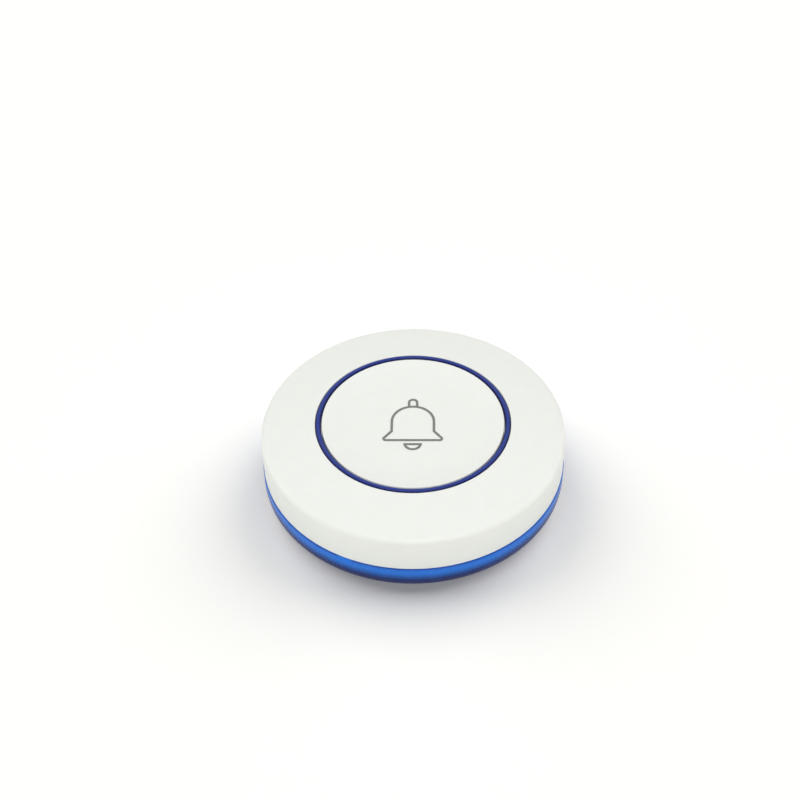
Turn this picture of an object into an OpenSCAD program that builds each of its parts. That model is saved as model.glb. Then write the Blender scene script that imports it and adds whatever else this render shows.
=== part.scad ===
// Round stick-on wireless doorbell button: a white cover and a white press cap, parted by a navy trim
// ring, on a blue base that sticks or screws to a wall. Millimetres. Z points away from the wall, the
// bell symbol stands towards +Y, and the origin is the middle of the face that meets the wall.

/* [Press cap] */
// Diameter of the press cap
cap_d = 35.8; // [32:0.2:40]
// Thickness of the cap's top
cap_t = 1.2; // [0.9:0.1:2]
// Thickness of the cap's skirt
skirt_t = 1.2; // [0.9:0.1:2]
// Depth of the dish in the cap's top
dish_depth = 0.4; // [0.1:0.05:0.8]
// Diameter of the dish's flat floor
dish_floor_d = 24; // [20:0.5:28]
// Rounding of the cap's rim
cap_rim_r = 0.4; // [0.2:0.05:0.6]
// Gap round the cap
cap_gap = 0.15; // [0.15:0.05:0.4]
// How far the cap's rim stands above the cover
cap_proud = 0.05; // [0:0.05:0.3]
// Travel of the cap when pressed
press_travel = 0.5; // [0.3:0.05:0.8]
// Width of the flange that keeps the cap in the cover
flange_w = 1.4; // [1:0.1:2]
// Thickness of the flange
flange_t = 1.2; // [0.8:0.1:1.6]
// Gap round the flange
flange_gap = 0.6; // [0.3:0.1:1]
// Diameter of the post under the cap
post_d = 5; // [4:0.5:8]
// Length of the post under the cap
post_len = 1.75; // [1.4:0.05:3]
// Number of ribs under the cap
cap_rib_count = 6; // [3:1:8]
// Thickness of the ribs under the cap
cap_rib_t = 1; // [0.6:0.1:1.4]
// Depth of the ribs under the cap
cap_rib_h = 0.8; // [0.4:0.1:1.2]

/* [Bell symbol] */
// Width of the bell's body between line centres
bell_body_w = 8.25; // [6:0.05:10]
// Width of the bell's lip between line centres
bell_lip_w = 11.3; // [10:0.1:14]
// Height of the bell's straight side
bell_side_h = 2.75; // [1:0.05:3.5]
// Height of the bell's flared foot
bell_flare_h = 2.45; // [1.8:0.05:3]
// Rounding of the bell's lip, at its line's centre
bell_lip_r = 0.4; // [0.35:0.05:0.6]
// Height of the dome's centre above the middle of the cap
bell_y = 0.15; // [-2:0.05:1]
// Width of the knob on top of the bell between line centres
knob_w = 1.6; // [1.2:0.1:2.4]
// Height of the knob above the dome
knob_h = 2; // [1.5:0.1:2.8]
// Gap between the bell and its clapper
clapper_gap = 1.1; // [0.7:0.05:1.4]
// Width of the clapper between line centres
clapper_w = 3.1; // [2.8:0.1:4.4]
// Height of the clapper between line centres
clapper_h = 1.35; // [1:0.05:1.7]
// Width of the symbol's lines
bell_line = 0.5; // [0.3:0.05:0.6]
// Thickness of the symbol's ink
ink_t = 0.08; // [0.04:0.02:0.2]

/* [Trim ring] */
// Width of the trim ring
ring_w = 1.1; // [0.8:0.1:2]
// Height of the trim ring
ring_h = 2.1; // [1.6:0.1:2.6]
// How far the ring's crest stands above the cover
ring_proud = 0.2; // [0.1:0.05:0.4]
// Gap between the trim ring and its socket in the cover
ring_fit = 0.05; // [0.02:0.01:0.1]

/* [Cover] */
// Thickness of the cover's side wall
cover_wall = 1.9; // [1.7:0.05:3]
// Thickness of the cover's top
cover_top_t = 2; // [1.5:0.1:2.4]
// Rounding of the cover's top edge
cover_edge_r = 1.2; // [0.4:0.1:2]
// Fall of the cover's top from the trim ring to the edge
dome_drop = 1.45; // [0.8:0.05:2.4]
// Thickness of the ledge under the trim ring
ledge_t = 1.2; // [0.9:0.1:1.6]

/* [Base] */
// Height of the base from its underside to the seam
base_h = 5.9; // [5.5:0.05:7]
// Thickness of the base's floor
floor_t = 1.6; // [1.4:0.1:2.2]
// Rounding of the base's lower edge
base_round = 3.25; // [2.5:0.05:4.5]
// Rounding inside the base
corner_round = 2; // [1:0.1:2.4]
// Gap of the seam between the base and the cover
seam_gap = 0.25; // [0.15:0.05:0.5]
// How far the base stands out past the cover
seam_step = 0.15; // [0.05:0.05:0.5]
// Thickness of the tongue under the cover's wall
tongue_t = 0.95; // [0.7:0.05:1.2]
// Gap round the tongue in its groove
tongue_gap = 0.15; // [0.1:0.05:0.25]
// Depth of the groove in the base's rim
groove_depth = 1.9; // [1.5:0.05:2.2]
// Thickness of the gasket in the groove
gasket_h = 0.8; // [0.5:0.05:1.2]
// Gap on each side of the gasket
gasket_gap = 0.05; // [0.02:0.01:0.15]
// Width of the notch for prying the base off
notch_w = 3; // [2:0.1:5]
// Height of the notch, which slopes inwards to the rim
notch_h = 0.6; // [0.3:0.05:1]
// Depth of the notch from the base's outside
notch_depth = 0.6; // [0.3:0.05:0.8]
// Direction of the notch, counted from +X
notch_deg = 245; // [0:1:359]

/* [Wall fixing] */
// Distance between the two wall screws
screw_spacing = 36; // [32:0.5:40]
// Diameter of the wall screw holes
screw_hole_d = 4; // [3:0.1:5]
// Diameter of the seat round each wall screw hole
screw_seat_d = 7.2; // [6:0.1:8]
// Height of the seat round each wall screw hole
screw_seat_h = 0.6; // [0.3:0.1:1]
// Gap between the adhesive pad's recess and the wall screw holes
pad_margin = 0.7; // [0.4:0.1:2]
// Gap round the adhesive pad in its recess
pad_fit = 0.3; // [0.1:0.05:0.5]
// Thickness of the adhesive pad
pad_t = 1; // [0.8:0.1:1.6]
// Depth of the recess for the adhesive pad
pad_recess = 0.6; // [0.3:0.05:0.7]

/* [Snap arms] */
// Number of snap arms
arm_count = 4; // [3:1:6]
// Direction of the first snap arm, counted from +X
arm_deg = 45; // [30:1:60]
// Width of a snap arm
arm_w = 5; // [3:0.5:6]
// Thickness of a snap arm
arm_t = 1.4; // [1:0.1:2]
// Gap between a snap arm and the circuit board
arm_gap = 0.5; // [0.3:0.1:1]
// Gap between a snap arm and its catch
catch_gap = 0.3; // [0.25:0.05:0.5]
// Depth of the catch on the cover's wall
catch_reach = 0.45; // [0.4:0.05:0.8]
// Height of the catch
catch_h = 1; // [0.6:0.1:1.4]
// Height of the catch above the cover's lower edge
catch_lift = 1; // [0.6:0.1:1.6]
// Angle that a catch spans
catch_deg = 16; // [13:1:20]
// How far the barb stands out from its arm
barb_reach = 0.5; // [0.4:0.05:0.6]
// Height of the barb
barb_h = 1.2; // [0.8:0.1:1.6]
// Play between the barb and the catch
snap_gap = 0.1; // [0.05:0.05:0.3]

/* [Button seal] */
// Thickness of the seal's web
seal_web = 0.6; // [0.4:0.05:0.8]
// Height of the seal's rim
seal_rim_h = 1.6; // [1.2:0.1:2.2]
// How far the seal's rim reaches past the rib that clamps it
seal_lap = 0.4; // [0.2:0.05:0.8]
// Width of the rib that clamps the seal
seal_rib_w = 1; // [0.8:0.1:1.4]
// Diameter of the seal's flat crown
seal_crown_d = 13; // [11:0.5:16]
// Diameter of the foot of the seal's cone
seal_foot_d = 24; // [20:0.5:30]
// Diameter of the nub that presses the switch
seal_nub_d = 3.2; // [2:0.1:3.4]
// Height of the seal's crown and nub together
seal_nub_h = 1; // [0.9:0.05:1.6]

/* [Circuit board] */
// Thickness of the circuit board
board_t = 1.2; // [0.8:0.1:1.6]
// Distance from the board screws' axes to the board's edge
board_edge = 1.8; // [1.6:0.1:3]
// Diameter of the cover's bosses for the board screws
boss_d = 3.8; // [3.4:0.1:4.6]
// Gap between the bosses and the seal
boss_gap = 0.3; // [0.2:0.05:0.8]
// Shank diameter of the board screws
board_screw_d = 1.6; // [1.4:0.1:2]
// Shank length of the board screws
board_screw_len = 5; // [3.5:0.25:5.5]
// Head diameter of the board screws
screw_head_d = 3.4; // [3:0.1:4]
// Head height of the board screws
screw_head_h = 1.3; // [1:0.1:1.6]
// Gap between a screw's shank and its pilot hole
pilot_fit = 0.05; // [0.02:0.01:0.1]
// Gap between a screw's shank and its hole in the board
board_hole_gap = 0.3; // [0.1:0.05:0.4]
// Width of the antenna loop's track
antenna_w = 0.8; // [0.4:0.1:1.2]
// Distance of the antenna loop from the board's edge
antenna_edge = 0.4; // [0.2:0.1:1]

/* [Switch] */
// Width of the switch's square body
switch_w = 6; // [5:0.1:7]
// Height of the switch's body with its steel cover
switch_body_h = 3.45; // [2.6:0.05:4]
// Thickness of the switch's steel cover
plate_t = 0.2; // [0.1:0.05:0.3]
// Diameter of the switch's plunger
plunger_d = 3.5; // [3:0.1:3.8]
// Gap round the plunger
plunger_gap = 0.1; // [0.05:0.05:0.3]
// How far the plunger stands above the switch at the end of its travel
plunger_stand = 0.35; // [0.2:0.05:0.8]
// Width of the collar that keeps the plunger in
collar_w = 0.5; // [0.4:0.05:0.6]
// Thickness of the plunger's collar
collar_t = 0.6; // [0.4:0.05:0.8]
// Height left in the snap dome at the end of the travel
dome_spare = 0.05; // [0.02:0.01:0.1]
// Thickness of the snap dome
dome_t = 0.1; // [0.06:0.01:0.15]
// Length of the switch's leads out to their bend
switch_lead_reach = 0.6; // [0.4:0.05:1]
// Length of the feet of the switch's leads
switch_lead_foot = 1; // [0.6:0.1:1.4]
// Height of the switch's leads
switch_lead_h = 1; // [0.6:0.1:1.6]
// Thickness of the switch's leads
switch_lead_t = 0.2; // [0.1:0.05:0.3]
// Width of the switch's leads
switch_lead_w = 0.7; // [0.4:0.1:1]
// Distance of the switch's leads from its middle
switch_lead_y = 2.25; // [1.8:0.05:2.5]

/* [Battery] */
// Diameter of the coin cell
cell_d = 20; // [16:0.5:24]
// Thickness of the coin cell
cell_h = 3.2; // [2.8:0.1:4]
// Diameter of the coin cell's negative face
cell_face_d = 17.6; // [14.5:0.1:18.5]
// Height of the step round the negative face
cell_step = 0.25; // [0.1:0.05:0.4]
// Thickness of the battery clip's sheet
clip_t = 0.3; // [0.2:0.05:0.4]
// Width of the battery clip
clip_w = 7; // [5:0.5:9]
// Gap between the battery clip and the base's floor
clip_gap = 0.2; // [0.1:0.05:0.6]
// Gap between the coin cell and the clip's legs
clip_play = 0.4; // [0.2:0.05:0.8]
// Length of the clip's soldered feet
clip_foot = 2.3; // [1.5:0.1:3]
// Thickness of the negative contact
contact_t = 0.3; // [0.2:0.05:0.4]
// Diameter of the negative contact
contact_d = 12; // [8:0.5:14]

/* [Small parts on the board] */
// Distance from the coin cell to the middle of the parts round it
parts_gap = 6; // [5.5:0.1:7]
// Length, width and height of the encoder chip's body
chip_size = [4.9, 3.9, 1.35];
// Length of the chip's leads out to their bend
chip_lead_reach = 0.45; // [0.3:0.05:0.7]
// Length of the feet of the chip's leads
chip_lead_foot = 0.6; // [0.4:0.05:1]
// Height of the chip's leads
chip_lead_h = 0.85; // [0.5:0.05:1.2]
// Thickness of the chip's leads
chip_lead_t = 0.2; // [0.1:0.05:0.3]
// Width of the chip's leads
chip_lead_w = 0.4; // [0.3:0.05:0.6]
// Distance from one of the chip's leads to the next
chip_lead_pitch = 1.27; // [1:0.01:1.4]
// Number of leads on each side of the chip
chip_leads_a_side = 4; // [2:1:4]
// Length, width and height of the transistor's body
transistor_size = [2.9, 1.3, 1];
// Length of the transistor's leads out to their bend
transistor_lead_reach = 0.35; // [0.25:0.05:0.6]
// Length of the feet of the transistor's leads
transistor_lead_foot = 0.4; // [0.3:0.05:0.6]
// Height of the transistor's leads
transistor_lead_h = 0.6; // [0.4:0.05:0.9]
// Thickness of the transistor's leads
transistor_lead_t = 0.15; // [0.1:0.05:0.2]
// Width of the transistor's leads
transistor_lead_w = 0.4; // [0.3:0.05:0.5]
// Distance of the transistor's outer leads from its middle
transistor_lead_y = 0.95; // [0.7:0.05:1.2]
// Length, width and height of the crystal's can
crystal_size = [10.2, 3.8, 2.3];
// Length, width and height of a chip resistor
resistor_size = [2, 1.25, 0.5];
// Length, width and height of a chip capacitor
capacitor_size = [2, 1.25, 0.9];
// Number of chip resistors
resistor_count = 5; // [1:1:6]
// Number of chip capacitors
capacitor_count = 5; // [1:1:6]

/* [Hidden] */
$fn = 96;

// Steps in a small rounding and in a long shallow arc
round_steps = 8;
sweep_steps = 16;
// Overlap of pieces of one solid, and the length that cuts run past a face
join = 0.3;

// Radii from the middle outwards
r_cap = cap_d / 2;
r_ring_in = r_cap + cap_gap;
r_ring_out = r_ring_in + ring_w;
r_socket = r_ring_out + ring_fit;
r_flange = r_cap + flange_w;
r_rib_in = r_flange + flange_gap;
r_rib_out = r_rib_in + seal_rib_w;
r_seal_in = r_rib_in - seal_lap;
r_seal_out = r_rib_out + seal_lap;
r_boss = r_seal_out + boss_gap + boss_d / 2;
r_board = r_boss + board_edge;
r_arm_in = max(r_board, r_boss + boss_d / 2 - arm_gap) + arm_gap;
r_arm_out = r_arm_in + arm_t;
r_catch = r_arm_out + catch_gap;
r_cover_in = r_catch + catch_reach;
r_tongue = r_cover_in + tongue_t;
r_lip = r_tongue + tongue_gap;
r_cover = r_cover_in + cover_wall;
r_base = r_cover + seam_step;

// Heights from the wall upwards
z_base = pad_t - pad_recess;
z_floor = z_base + floor_t;
z_clip = z_floor + clip_gap;
z_cell = z_clip + clip_t;
z_contact = z_cell + cell_h;
z_board = z_contact + contact_t;
z_board_top = z_board + board_t;
z_plate_top = z_board_top + switch_body_h;
z_plate = z_plate_top - plate_t;
z_plunger_top = z_plate_top + press_travel + plunger_stand;
z_seal_top = z_plunger_top + seal_nub_h;
z_cap_under = z_seal_top + post_len;
z_dish = z_cap_under + cap_t;
z_cap_top = z_dish + dish_depth;
z_shoulder = z_cap_top - cap_proud;
z_ring_top = z_shoulder + ring_proud;
z_ledge_top = z_ring_top - ring_h;
z_ledge = z_ledge_top - ledge_t;
z_flange = z_ledge - flange_t;
z_seal_rim = z_board_top + seal_rim_h;

// Heights of the seam, which follow the base
z_base_top = z_base + base_h;
z_cover_edge = z_base_top + seam_gap;
z_groove = z_base_top - groove_depth;
z_tongue = z_groove + gasket_h;
z_catch = z_cover_edge + catch_lift;
z_barb = z_catch + catch_h + snap_gap;
z_arm_top = z_barb + barb_h;

// The cover's top is part of a sphere, and its edge rounding touches both the sphere and the side wall
r_edge = r_cover - cover_edge_r;
dome_rise = ((r_edge * r_edge - r_socket * r_socket) / dome_drop + dome_drop) / 2;
dome_r = sqrt(dome_rise * dome_rise + r_socket * r_socket);
z_dome = z_shoulder - dome_rise;
z_edge = z_dome + sqrt(pow(dome_r - cover_edge_r, 2) - r_edge * r_edge);
edge_deg = atan2(z_edge - z_dome, r_edge);
dome_in_r = dome_r - cover_top_t;

// The dish rises from its flat floor to the rim on an arc that starts level
dish_w = r_cap - cap_rim_r - dish_floor_d / 2;
dish_r = (dish_w * dish_w + dish_depth * dish_depth) / (2 * dish_depth);

// The bell's foot flares straight out to its rounded lip, and flare_deg is its slant from straight down
bell_r = bell_body_w / 2;
y_flare = bell_y - bell_side_h;
y_lip = y_flare - bell_flare_h;
lip_centre = [bell_lip_w / 2 - bell_lip_r, y_lip + bell_lip_r];
lip_run = lip_centre - [bell_r, y_flare];
flare_deg = atan2(lip_run[0], -lip_run[1]) + asin(bell_lip_r / norm(lip_run));
y_knob = bell_y + bell_r + knob_h - knob_w / 2;
y_clapper = y_lip - clapper_gap;
clapper_r = (clapper_w * clapper_w / 4 + clapper_h * clapper_h) / (2 * clapper_h);

// Board screws and bosses, one at the top of the board
boss_count = 3;
boss_deg = 90;
pilot_spare = 0.7;
recess_w = 0.5;

// Adhesive pad between the wall screws
pad_d = screw_spacing - screw_hole_d - 2 * pad_margin - 2 * pad_fit;

// Height of the chip's and the transistor's bodies above the board
body_standoff = 0.15;

// The crystal's base plate is wider than its can, and stands on the board
crystal_plate_t = 0.5;
crystal_plate_w = 0.5;

// The small parts stand on a circle round the coin cell
r_parts = cell_d / 2 + parts_gap;
chip_deg = 90;
crystal_deg = 270;
transistor_deg = 234;
resistor_deg = 128;
capacitor_deg = 12;
part_step_deg = 11;
antenna_t = 0.1;
antenna_deg = 100;
antenna_span_deg = 100;

tab_w = 2.4;
tab_h = 1.4;
tab_t = 0.2;
contact_hole_d = 4;

// Points along an arc from one angle to another
function arc(centre, r, from, to, steps) =
    [for (i = [0:steps]) let (a = from + (to - from) * i / steps) centre + r * [cos(a), sin(a)]];

// Repeats a part round the Z axis
module around(count, first) {
    for (i = [0:count - 1])
        rotate(first + 360 * i / count)
            children();
}

// A flat outline in X and Z, given a width along Y
module upright(width) {
    rotate([90, 0, 0])
        linear_extrude(width, center = true)
            children();
}

// A bent lead that leaves a body at X = 0 and ends in a foot on Z = 0
module bent_lead(reach, foot, rise, t, width) {
    upright(width)
        polygon([
            [0, rise], [reach, rise], [reach, t], [reach + foot, t],
            [reach + foot, 0], [reach - t, 0], [reach - t, rise - t], [0, rise - t]
        ]);
}

// Puts a part that is drawn standing on Z = 0 under the board, at a place round the coin cell
module under_board(deg) {
    rotate(deg)
        translate([r_parts, 0, z_board])
            rotate([180, 0, 90])
                children();
}

// A box that stands on Z = 0 with its middle on the Z axis
module standing_box(size) {
    translate([-size[0] / 2, -size[1] / 2, 0])
        cube(size);
}

module base_outline() {
    corner_r = min(corner_round, z_groove - z_floor - join);
    polygon(concat(
        [[0, z_base]],
        arc([r_base - base_round, z_base + base_round], base_round, -90, 0, round_steps),
        [[r_base, z_base_top], [r_lip, z_base_top], [r_lip, z_groove], [r_cover_in, z_groove]],
        arc([r_cover_in - corner_r, z_floor + corner_r], corner_r, 0, -90, round_steps),
        [[0, z_floor]]
    ));
}

module snap_arm() {
    root = z_floor - floor_t / 3;
    upright(arm_w)
        polygon([
            [r_arm_in, root], [r_arm_out, root], [r_arm_out, z_barb], [r_arm_out + barb_reach, z_barb],
            [r_arm_out + barb_reach, z_barb + barb_h / 3], [r_arm_out, z_arm_top], [r_arm_in, z_arm_top]
        ]);
}

module base_shell() {
    color("#2f66c0")
        difference() {
            union() {
                rotate_extrude()
                    base_outline();
                around(arm_count, arm_deg)
                    snap_arm();
                around(2, 0)
                    translate([screw_spacing / 2, 0, z_base + floor_t / 2])
                        cylinder(d = screw_seat_d, h = floor_t / 2 + screw_seat_h);
            }
            translate([0, 0, z_base - join])
                cylinder(d = pad_d + 2 * pad_fit, h = pad_recess + join);
            around(2, 0)
                translate([screw_spacing / 2, 0, z_base - join])
                    cylinder(d = screw_hole_d, h = floor_t + screw_seat_h + 2 * join);
            rotate(notch_deg)
                upright(notch_w)
                    polygon([
                        [r_base - notch_depth, z_base_top + join], [r_base - notch_depth, z_base_top],
                        [r_base, z_base_top - notch_h], [r_base + join, z_base_top - notch_h],
                        [r_base + join, z_base_top + join]
                    ]);
        }
}

module cover_outline() {
    polygon(concat(
        [[r_cover, z_cover_edge]],
        arc([r_edge, z_edge], cover_edge_r, 0, edge_deg, round_steps),
        arc([0, z_dome], dome_r, edge_deg, atan2(dome_rise, r_socket), sweep_steps),
        [
            [r_socket, z_ledge_top], [r_ring_in, z_ledge_top], [r_ring_in, z_ledge], [r_rib_in, z_ledge],
            [r_rib_in, z_seal_rim], [r_rib_out, z_seal_rim]
        ],
        arc([0, z_dome], dome_in_r, acos(r_rib_out / dome_in_r), acos(r_cover_in / dome_in_r), sweep_steps),
        [[r_cover_in, z_tongue], [r_tongue, z_tongue], [r_tongue, z_cover_edge]]
    ));
}

module top_cover() {
    z_boss_top = z_dome + sqrt(dome_in_r * dome_in_r - r_boss * r_boss) + cover_top_t / 2;
    color("#eff0eb")
        difference() {
            union() {
                rotate_extrude()
                    cover_outline();
                around(boss_count, boss_deg)
                    translate([r_boss, 0, z_board_top])
                        cylinder(d = boss_d, h = z_boss_top - z_board_top);
                around(arm_count, arm_deg - catch_deg / 2)
                    rotate_extrude(angle = catch_deg)
                        translate([r_catch, z_catch])
                            square([catch_reach + cover_wall / 4, catch_h]);
            }
            around(boss_count, boss_deg)
                translate([r_boss, 0, z_board_top - join])
                    cylinder(
                        d = board_screw_d + 2 * pilot_fit,
                        h = board_screw_len - board_t + pilot_spare + join
                    );
        }
}

module trim_ring() {
    bead_r = ring_w / 2;
    color("#2c3f74")
        rotate_extrude()
            polygon(concat(
                [[r_ring_in, z_ledge_top], [r_ring_out, z_ledge_top]],
                arc([r_ring_in + bead_r, z_ring_top - bead_r], bead_r, 0, 180, sweep_steps)
            ));
}

module cap_outline() {
    r_skirt = r_cap - skirt_t;
    dish_end = asin(dish_w / dish_r);
    polygon(concat(
        [[0, z_dish]],
        arc([dish_floor_d / 2, z_dish + dish_r], dish_r, -90, dish_end - 90, round_steps),
        arc([r_cap - cap_rim_r, z_cap_top - cap_rim_r], cap_rim_r, 90, 0, round_steps),
        [
            [r_cap, z_ledge], [r_flange, z_ledge], [r_flange, z_flange], [r_skirt, z_flange],
            [r_skirt, z_cap_under], [post_d / 2, z_cap_under], [post_d / 2, z_seal_top], [0, z_seal_top]
        ]
    ));
}

module button_cap() {
    color("#eff0eb")
        union() {
            rotate_extrude()
                cap_outline();
            around(cap_rib_count, 0)
                translate([post_d / 2 - join, -cap_rib_t / 2, z_cap_under - cap_rib_h])
                    cube([r_cap - skirt_t / 2 - post_d / 2 + join, cap_rib_t, cap_rib_h + join]);
        }
}

// The bell's outline, moved outwards by a distance
module bell_shape(out) {
    lip = arc(lip_centre, bell_lip_r + out, -90, flare_deg, round_steps);
    foot = concat(lip, [[bell_r + out, y_flare + out * tan(flare_deg / 2)]]);
    polygon(concat(
        foot,
        arc([0, bell_y], bell_r + out, 0, 180, 2 * sweep_steps),
        [for (i = [len(foot) - 1:-1:0]) [-foot[i][0], foot[i][1]]]
    ));
}

// The arch of the knob on top of the bell, moved outwards by a distance
module knob_shape(out) {
    r = knob_w / 2 + out;
    translate([0, y_knob])
        circle(r);
    translate([-r, bell_y + bell_r])
        square([2 * r, y_knob - bell_y - bell_r]);
}

// The clapper's outline under the bell, moved outwards by a distance
module clapper_shape(out) {
    intersection() {
        translate([0, y_clapper - clapper_h + clapper_r])
            circle(clapper_r + out);
        translate([-clapper_w, y_clapper - 2 * clapper_h])
            square([2 * clapper_w, 2 * clapper_h + out]);
    }
}

module bell_mark() {
    half = bell_line / 2;
    color("#787c76")
        translate([0, 0, z_dish])
            linear_extrude(ink_t) {
                difference() {
                    union() {
                        bell_shape(half);
                        knob_shape(half);
                    }
                    bell_shape(-half);
                    difference() {
                        knob_shape(-half);
                        bell_shape(half);
                    }
                }
                difference() {
                    clapper_shape(half);
                    clapper_shape(-half);
                }
            }
}

module button_seal() {
    r_crown = seal_crown_d / 2;
    r_foot = seal_foot_d / 2;
    r_nub = seal_nub_d / 2;
    color("#c9cdd0")
        rotate_extrude()
            polygon([
                [0, z_seal_top], [r_crown, z_seal_top], [r_foot, z_seal_rim], [r_seal_out, z_seal_rim],
                [r_seal_out, z_board_top], [r_seal_in, z_board_top], [r_seal_in, z_seal_rim - seal_web],
                [r_foot - seal_web / 2, z_seal_rim - seal_web],
                [r_crown - seal_web / 2, z_seal_top - seal_web],
                [r_nub, z_seal_top - seal_web], [r_nub, z_plunger_top], [0, z_plunger_top]
            ]);
}

module case_gasket() {
    color("#3b3d40")
        translate([0, 0, z_groove])
            difference() {
                cylinder(r = r_tongue - gasket_gap, h = gasket_h);
                translate([0, 0, -join])
                    cylinder(r = r_cover_in + gasket_gap, h = gasket_h + 2 * join);
            }
}

module adhesive_pad() {
    color("#e6e5e0")
        cylinder(d = pad_d, h = pad_t);
}

module circuit_board() {
    color("#2e7a4a")
        translate([0, 0, z_board])
            difference() {
                cylinder(r = r_board, h = board_t);
                around(boss_count, boss_deg)
                    translate([r_boss, 0, -join])
                        cylinder(d = board_screw_d + 2 * board_hole_gap, h = board_t + 2 * join);
            }
}

module board_screws() {
    color("#b9bcc0")
        around(boss_count, boss_deg)
            translate([r_boss, 0, z_board])
                difference() {
                    union() {
                        translate([0, 0, -screw_head_h])
                            cylinder(d = screw_head_d, h = screw_head_h);
                        cylinder(d = board_screw_d, h = board_screw_len);
                    }
                    around(2, 0)
                        translate([-screw_head_d / 3, -recess_w / 2, -screw_head_h - join])
                            cube([2 * screw_head_d / 3, recess_w, screw_head_h / 2 + join]);
                }
}

module antenna_loop() {
    color("#c98a4b")
        rotate(antenna_deg)
            rotate_extrude(angle = antenna_span_deg)
                translate([r_board - antenna_edge - antenna_w, z_board - antenna_t])
                    square([antenna_w, antenna_t]);
}

// The switch's plunger stands on a snap dome in a round well, and a steel cover keeps its collar in
switch_well_d = plunger_d + 2 * collar_w + 2 * plunger_gap;
z_collar = z_plate - collar_t;
z_well = z_collar - press_travel - dome_spare;

module switch_base() {
    color("#26282b")
        difference() {
            translate([0, 0, z_board_top])
                standing_box([switch_w, switch_w, z_plate - z_board_top]);
            translate([0, 0, z_well])
                cylinder(d = switch_well_d, h = z_plate - z_well + join);
        }
}

module switch_terminals() {
    color("#c4c7cb")
        for (side = [0, 180], y = [-1, 1])
            rotate(side)
                translate([switch_w / 2, y * switch_lead_y, z_board_top])
                    bent_lead(
                        switch_lead_reach, switch_lead_foot, switch_lead_h, switch_lead_t, switch_lead_w
                    );
}

module switch_dome() {
    r_foot = plunger_d / 2 + collar_w;
    r_crown = r_foot / 2;
    color("#d2d4d6")
        rotate_extrude()
            polygon([
                [0, z_collar], [r_crown, z_collar], [r_foot, z_well + dome_t], [r_foot, z_well],
                [r_foot - dome_t, z_well], [r_crown - dome_t, z_collar - dome_t], [0, z_collar - dome_t]
            ]);
}

module switch_plunger() {
    color("#303236")
        union() {
            translate([0, 0, z_collar])
                cylinder(d = plunger_d + 2 * collar_w, h = collar_t);
            translate([0, 0, z_collar])
                cylinder(d = plunger_d, h = z_plunger_top - z_collar);
        }
}

module switch_cover() {
    color("#c4c7cb")
        difference() {
            union() {
                translate([0, 0, z_plate])
                    standing_box([switch_w, switch_w + 2 * tab_t, plate_t]);
                for (side = [0, 180])
                    rotate(side)
                        translate([-tab_w / 2, switch_w / 2, z_plate - tab_h])
                            cube([tab_w, tab_t, tab_h + plate_t / 2]);
            }
            translate([0, 0, z_plate - join])
                cylinder(d = plunger_d + 2 * plunger_gap, h = plate_t + 2 * join);
        }
}

module coin_cell() {
    color("#b6b9bd")
        translate([0, 0, z_cell])
            union() {
                cylinder(d = cell_d, h = cell_h - cell_step);
                cylinder(d = cell_face_d, h = cell_h);
            }
}

module battery_clip() {
    leg_in = cell_d / 2 + clip_play;
    leg_out = leg_in + clip_t;
    color("#cdb26a")
        union() {
            translate([0, 0, z_clip])
                standing_box([2 * leg_out, clip_w, clip_t]);
            for (side = [0, 180])
                rotate(side) {
                    translate([leg_in, -clip_w / 2, z_clip])
                        cube([clip_t, clip_w, z_board - z_clip]);
                    translate([leg_in, -clip_w / 2, z_board - clip_t])
                        cube([clip_t + clip_foot, clip_w, clip_t]);
                }
        }
}

module negative_contact() {
    color("#cdb26a")
        translate([0, 0, z_contact])
            difference() {
                cylinder(d = contact_d, h = contact_t);
                translate([0, 0, -join])
                    cylinder(d = contact_hole_d, h = contact_t + 2 * join);
            }
}

module encoder_chip() {
    color("#232427")
        under_board(chip_deg)
            translate([0, 0, body_standoff])
                standing_box(chip_size);
}

module chip_leads() {
    row = chip_lead_pitch * (chip_leads_a_side - 1);
    color("#c4c7cb")
        under_board(chip_deg)
            for (side = [-1, 1], i = [0:chip_leads_a_side - 1])
                translate([i * chip_lead_pitch - row / 2, side * chip_size[1] / 2, 0])
                    rotate(90 * side)
                        bent_lead(chip_lead_reach, chip_lead_foot, chip_lead_h, chip_lead_t, chip_lead_w);
}

module crystal_can() {
    length = crystal_size[0];
    width = crystal_size[1];
    color("#b9bcc0")
        under_board(crystal_deg)
            union() {
                standing_box([length + 2 * crystal_plate_w, width + 2 * crystal_plate_w, crystal_plate_t]);
                standing_box([length - width, width, crystal_plate_t + crystal_size[2]]);
                for (side = [-1, 1])
                    translate([side * (length - width) / 2, 0, 0])
                        cylinder(d = width, h = crystal_plate_t + crystal_size[2]);
            }
}

module rf_transistor() {
    color("#232427")
        under_board(transistor_deg)
            translate([0, 0, body_standoff])
                standing_box(transistor_size);
}

module transistor_leads() {
    color("#c4c7cb")
        under_board(transistor_deg)
            for (place = [[0, 1], [-transistor_lead_y, -1], [transistor_lead_y, -1]])
                translate([place[0], place[1] * transistor_size[1] / 2, 0])
                    rotate(90 * place[1])
                        bent_lead(
                            transistor_lead_reach, transistor_lead_foot, transistor_lead_h,
                            transistor_lead_t, transistor_lead_w
                        );
}

module chip_resistors() {
    color("#2b2c30")
        for (i = [0:resistor_count - 1])
            under_board(resistor_deg + i * part_step_deg)
                standing_box(resistor_size);
}

module chip_capacitors() {
    color("#b39a78")
        for (i = [0:capacitor_count - 1])
            under_board(capacitor_deg + i * part_step_deg)
                standing_box(capacitor_size);
}

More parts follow.
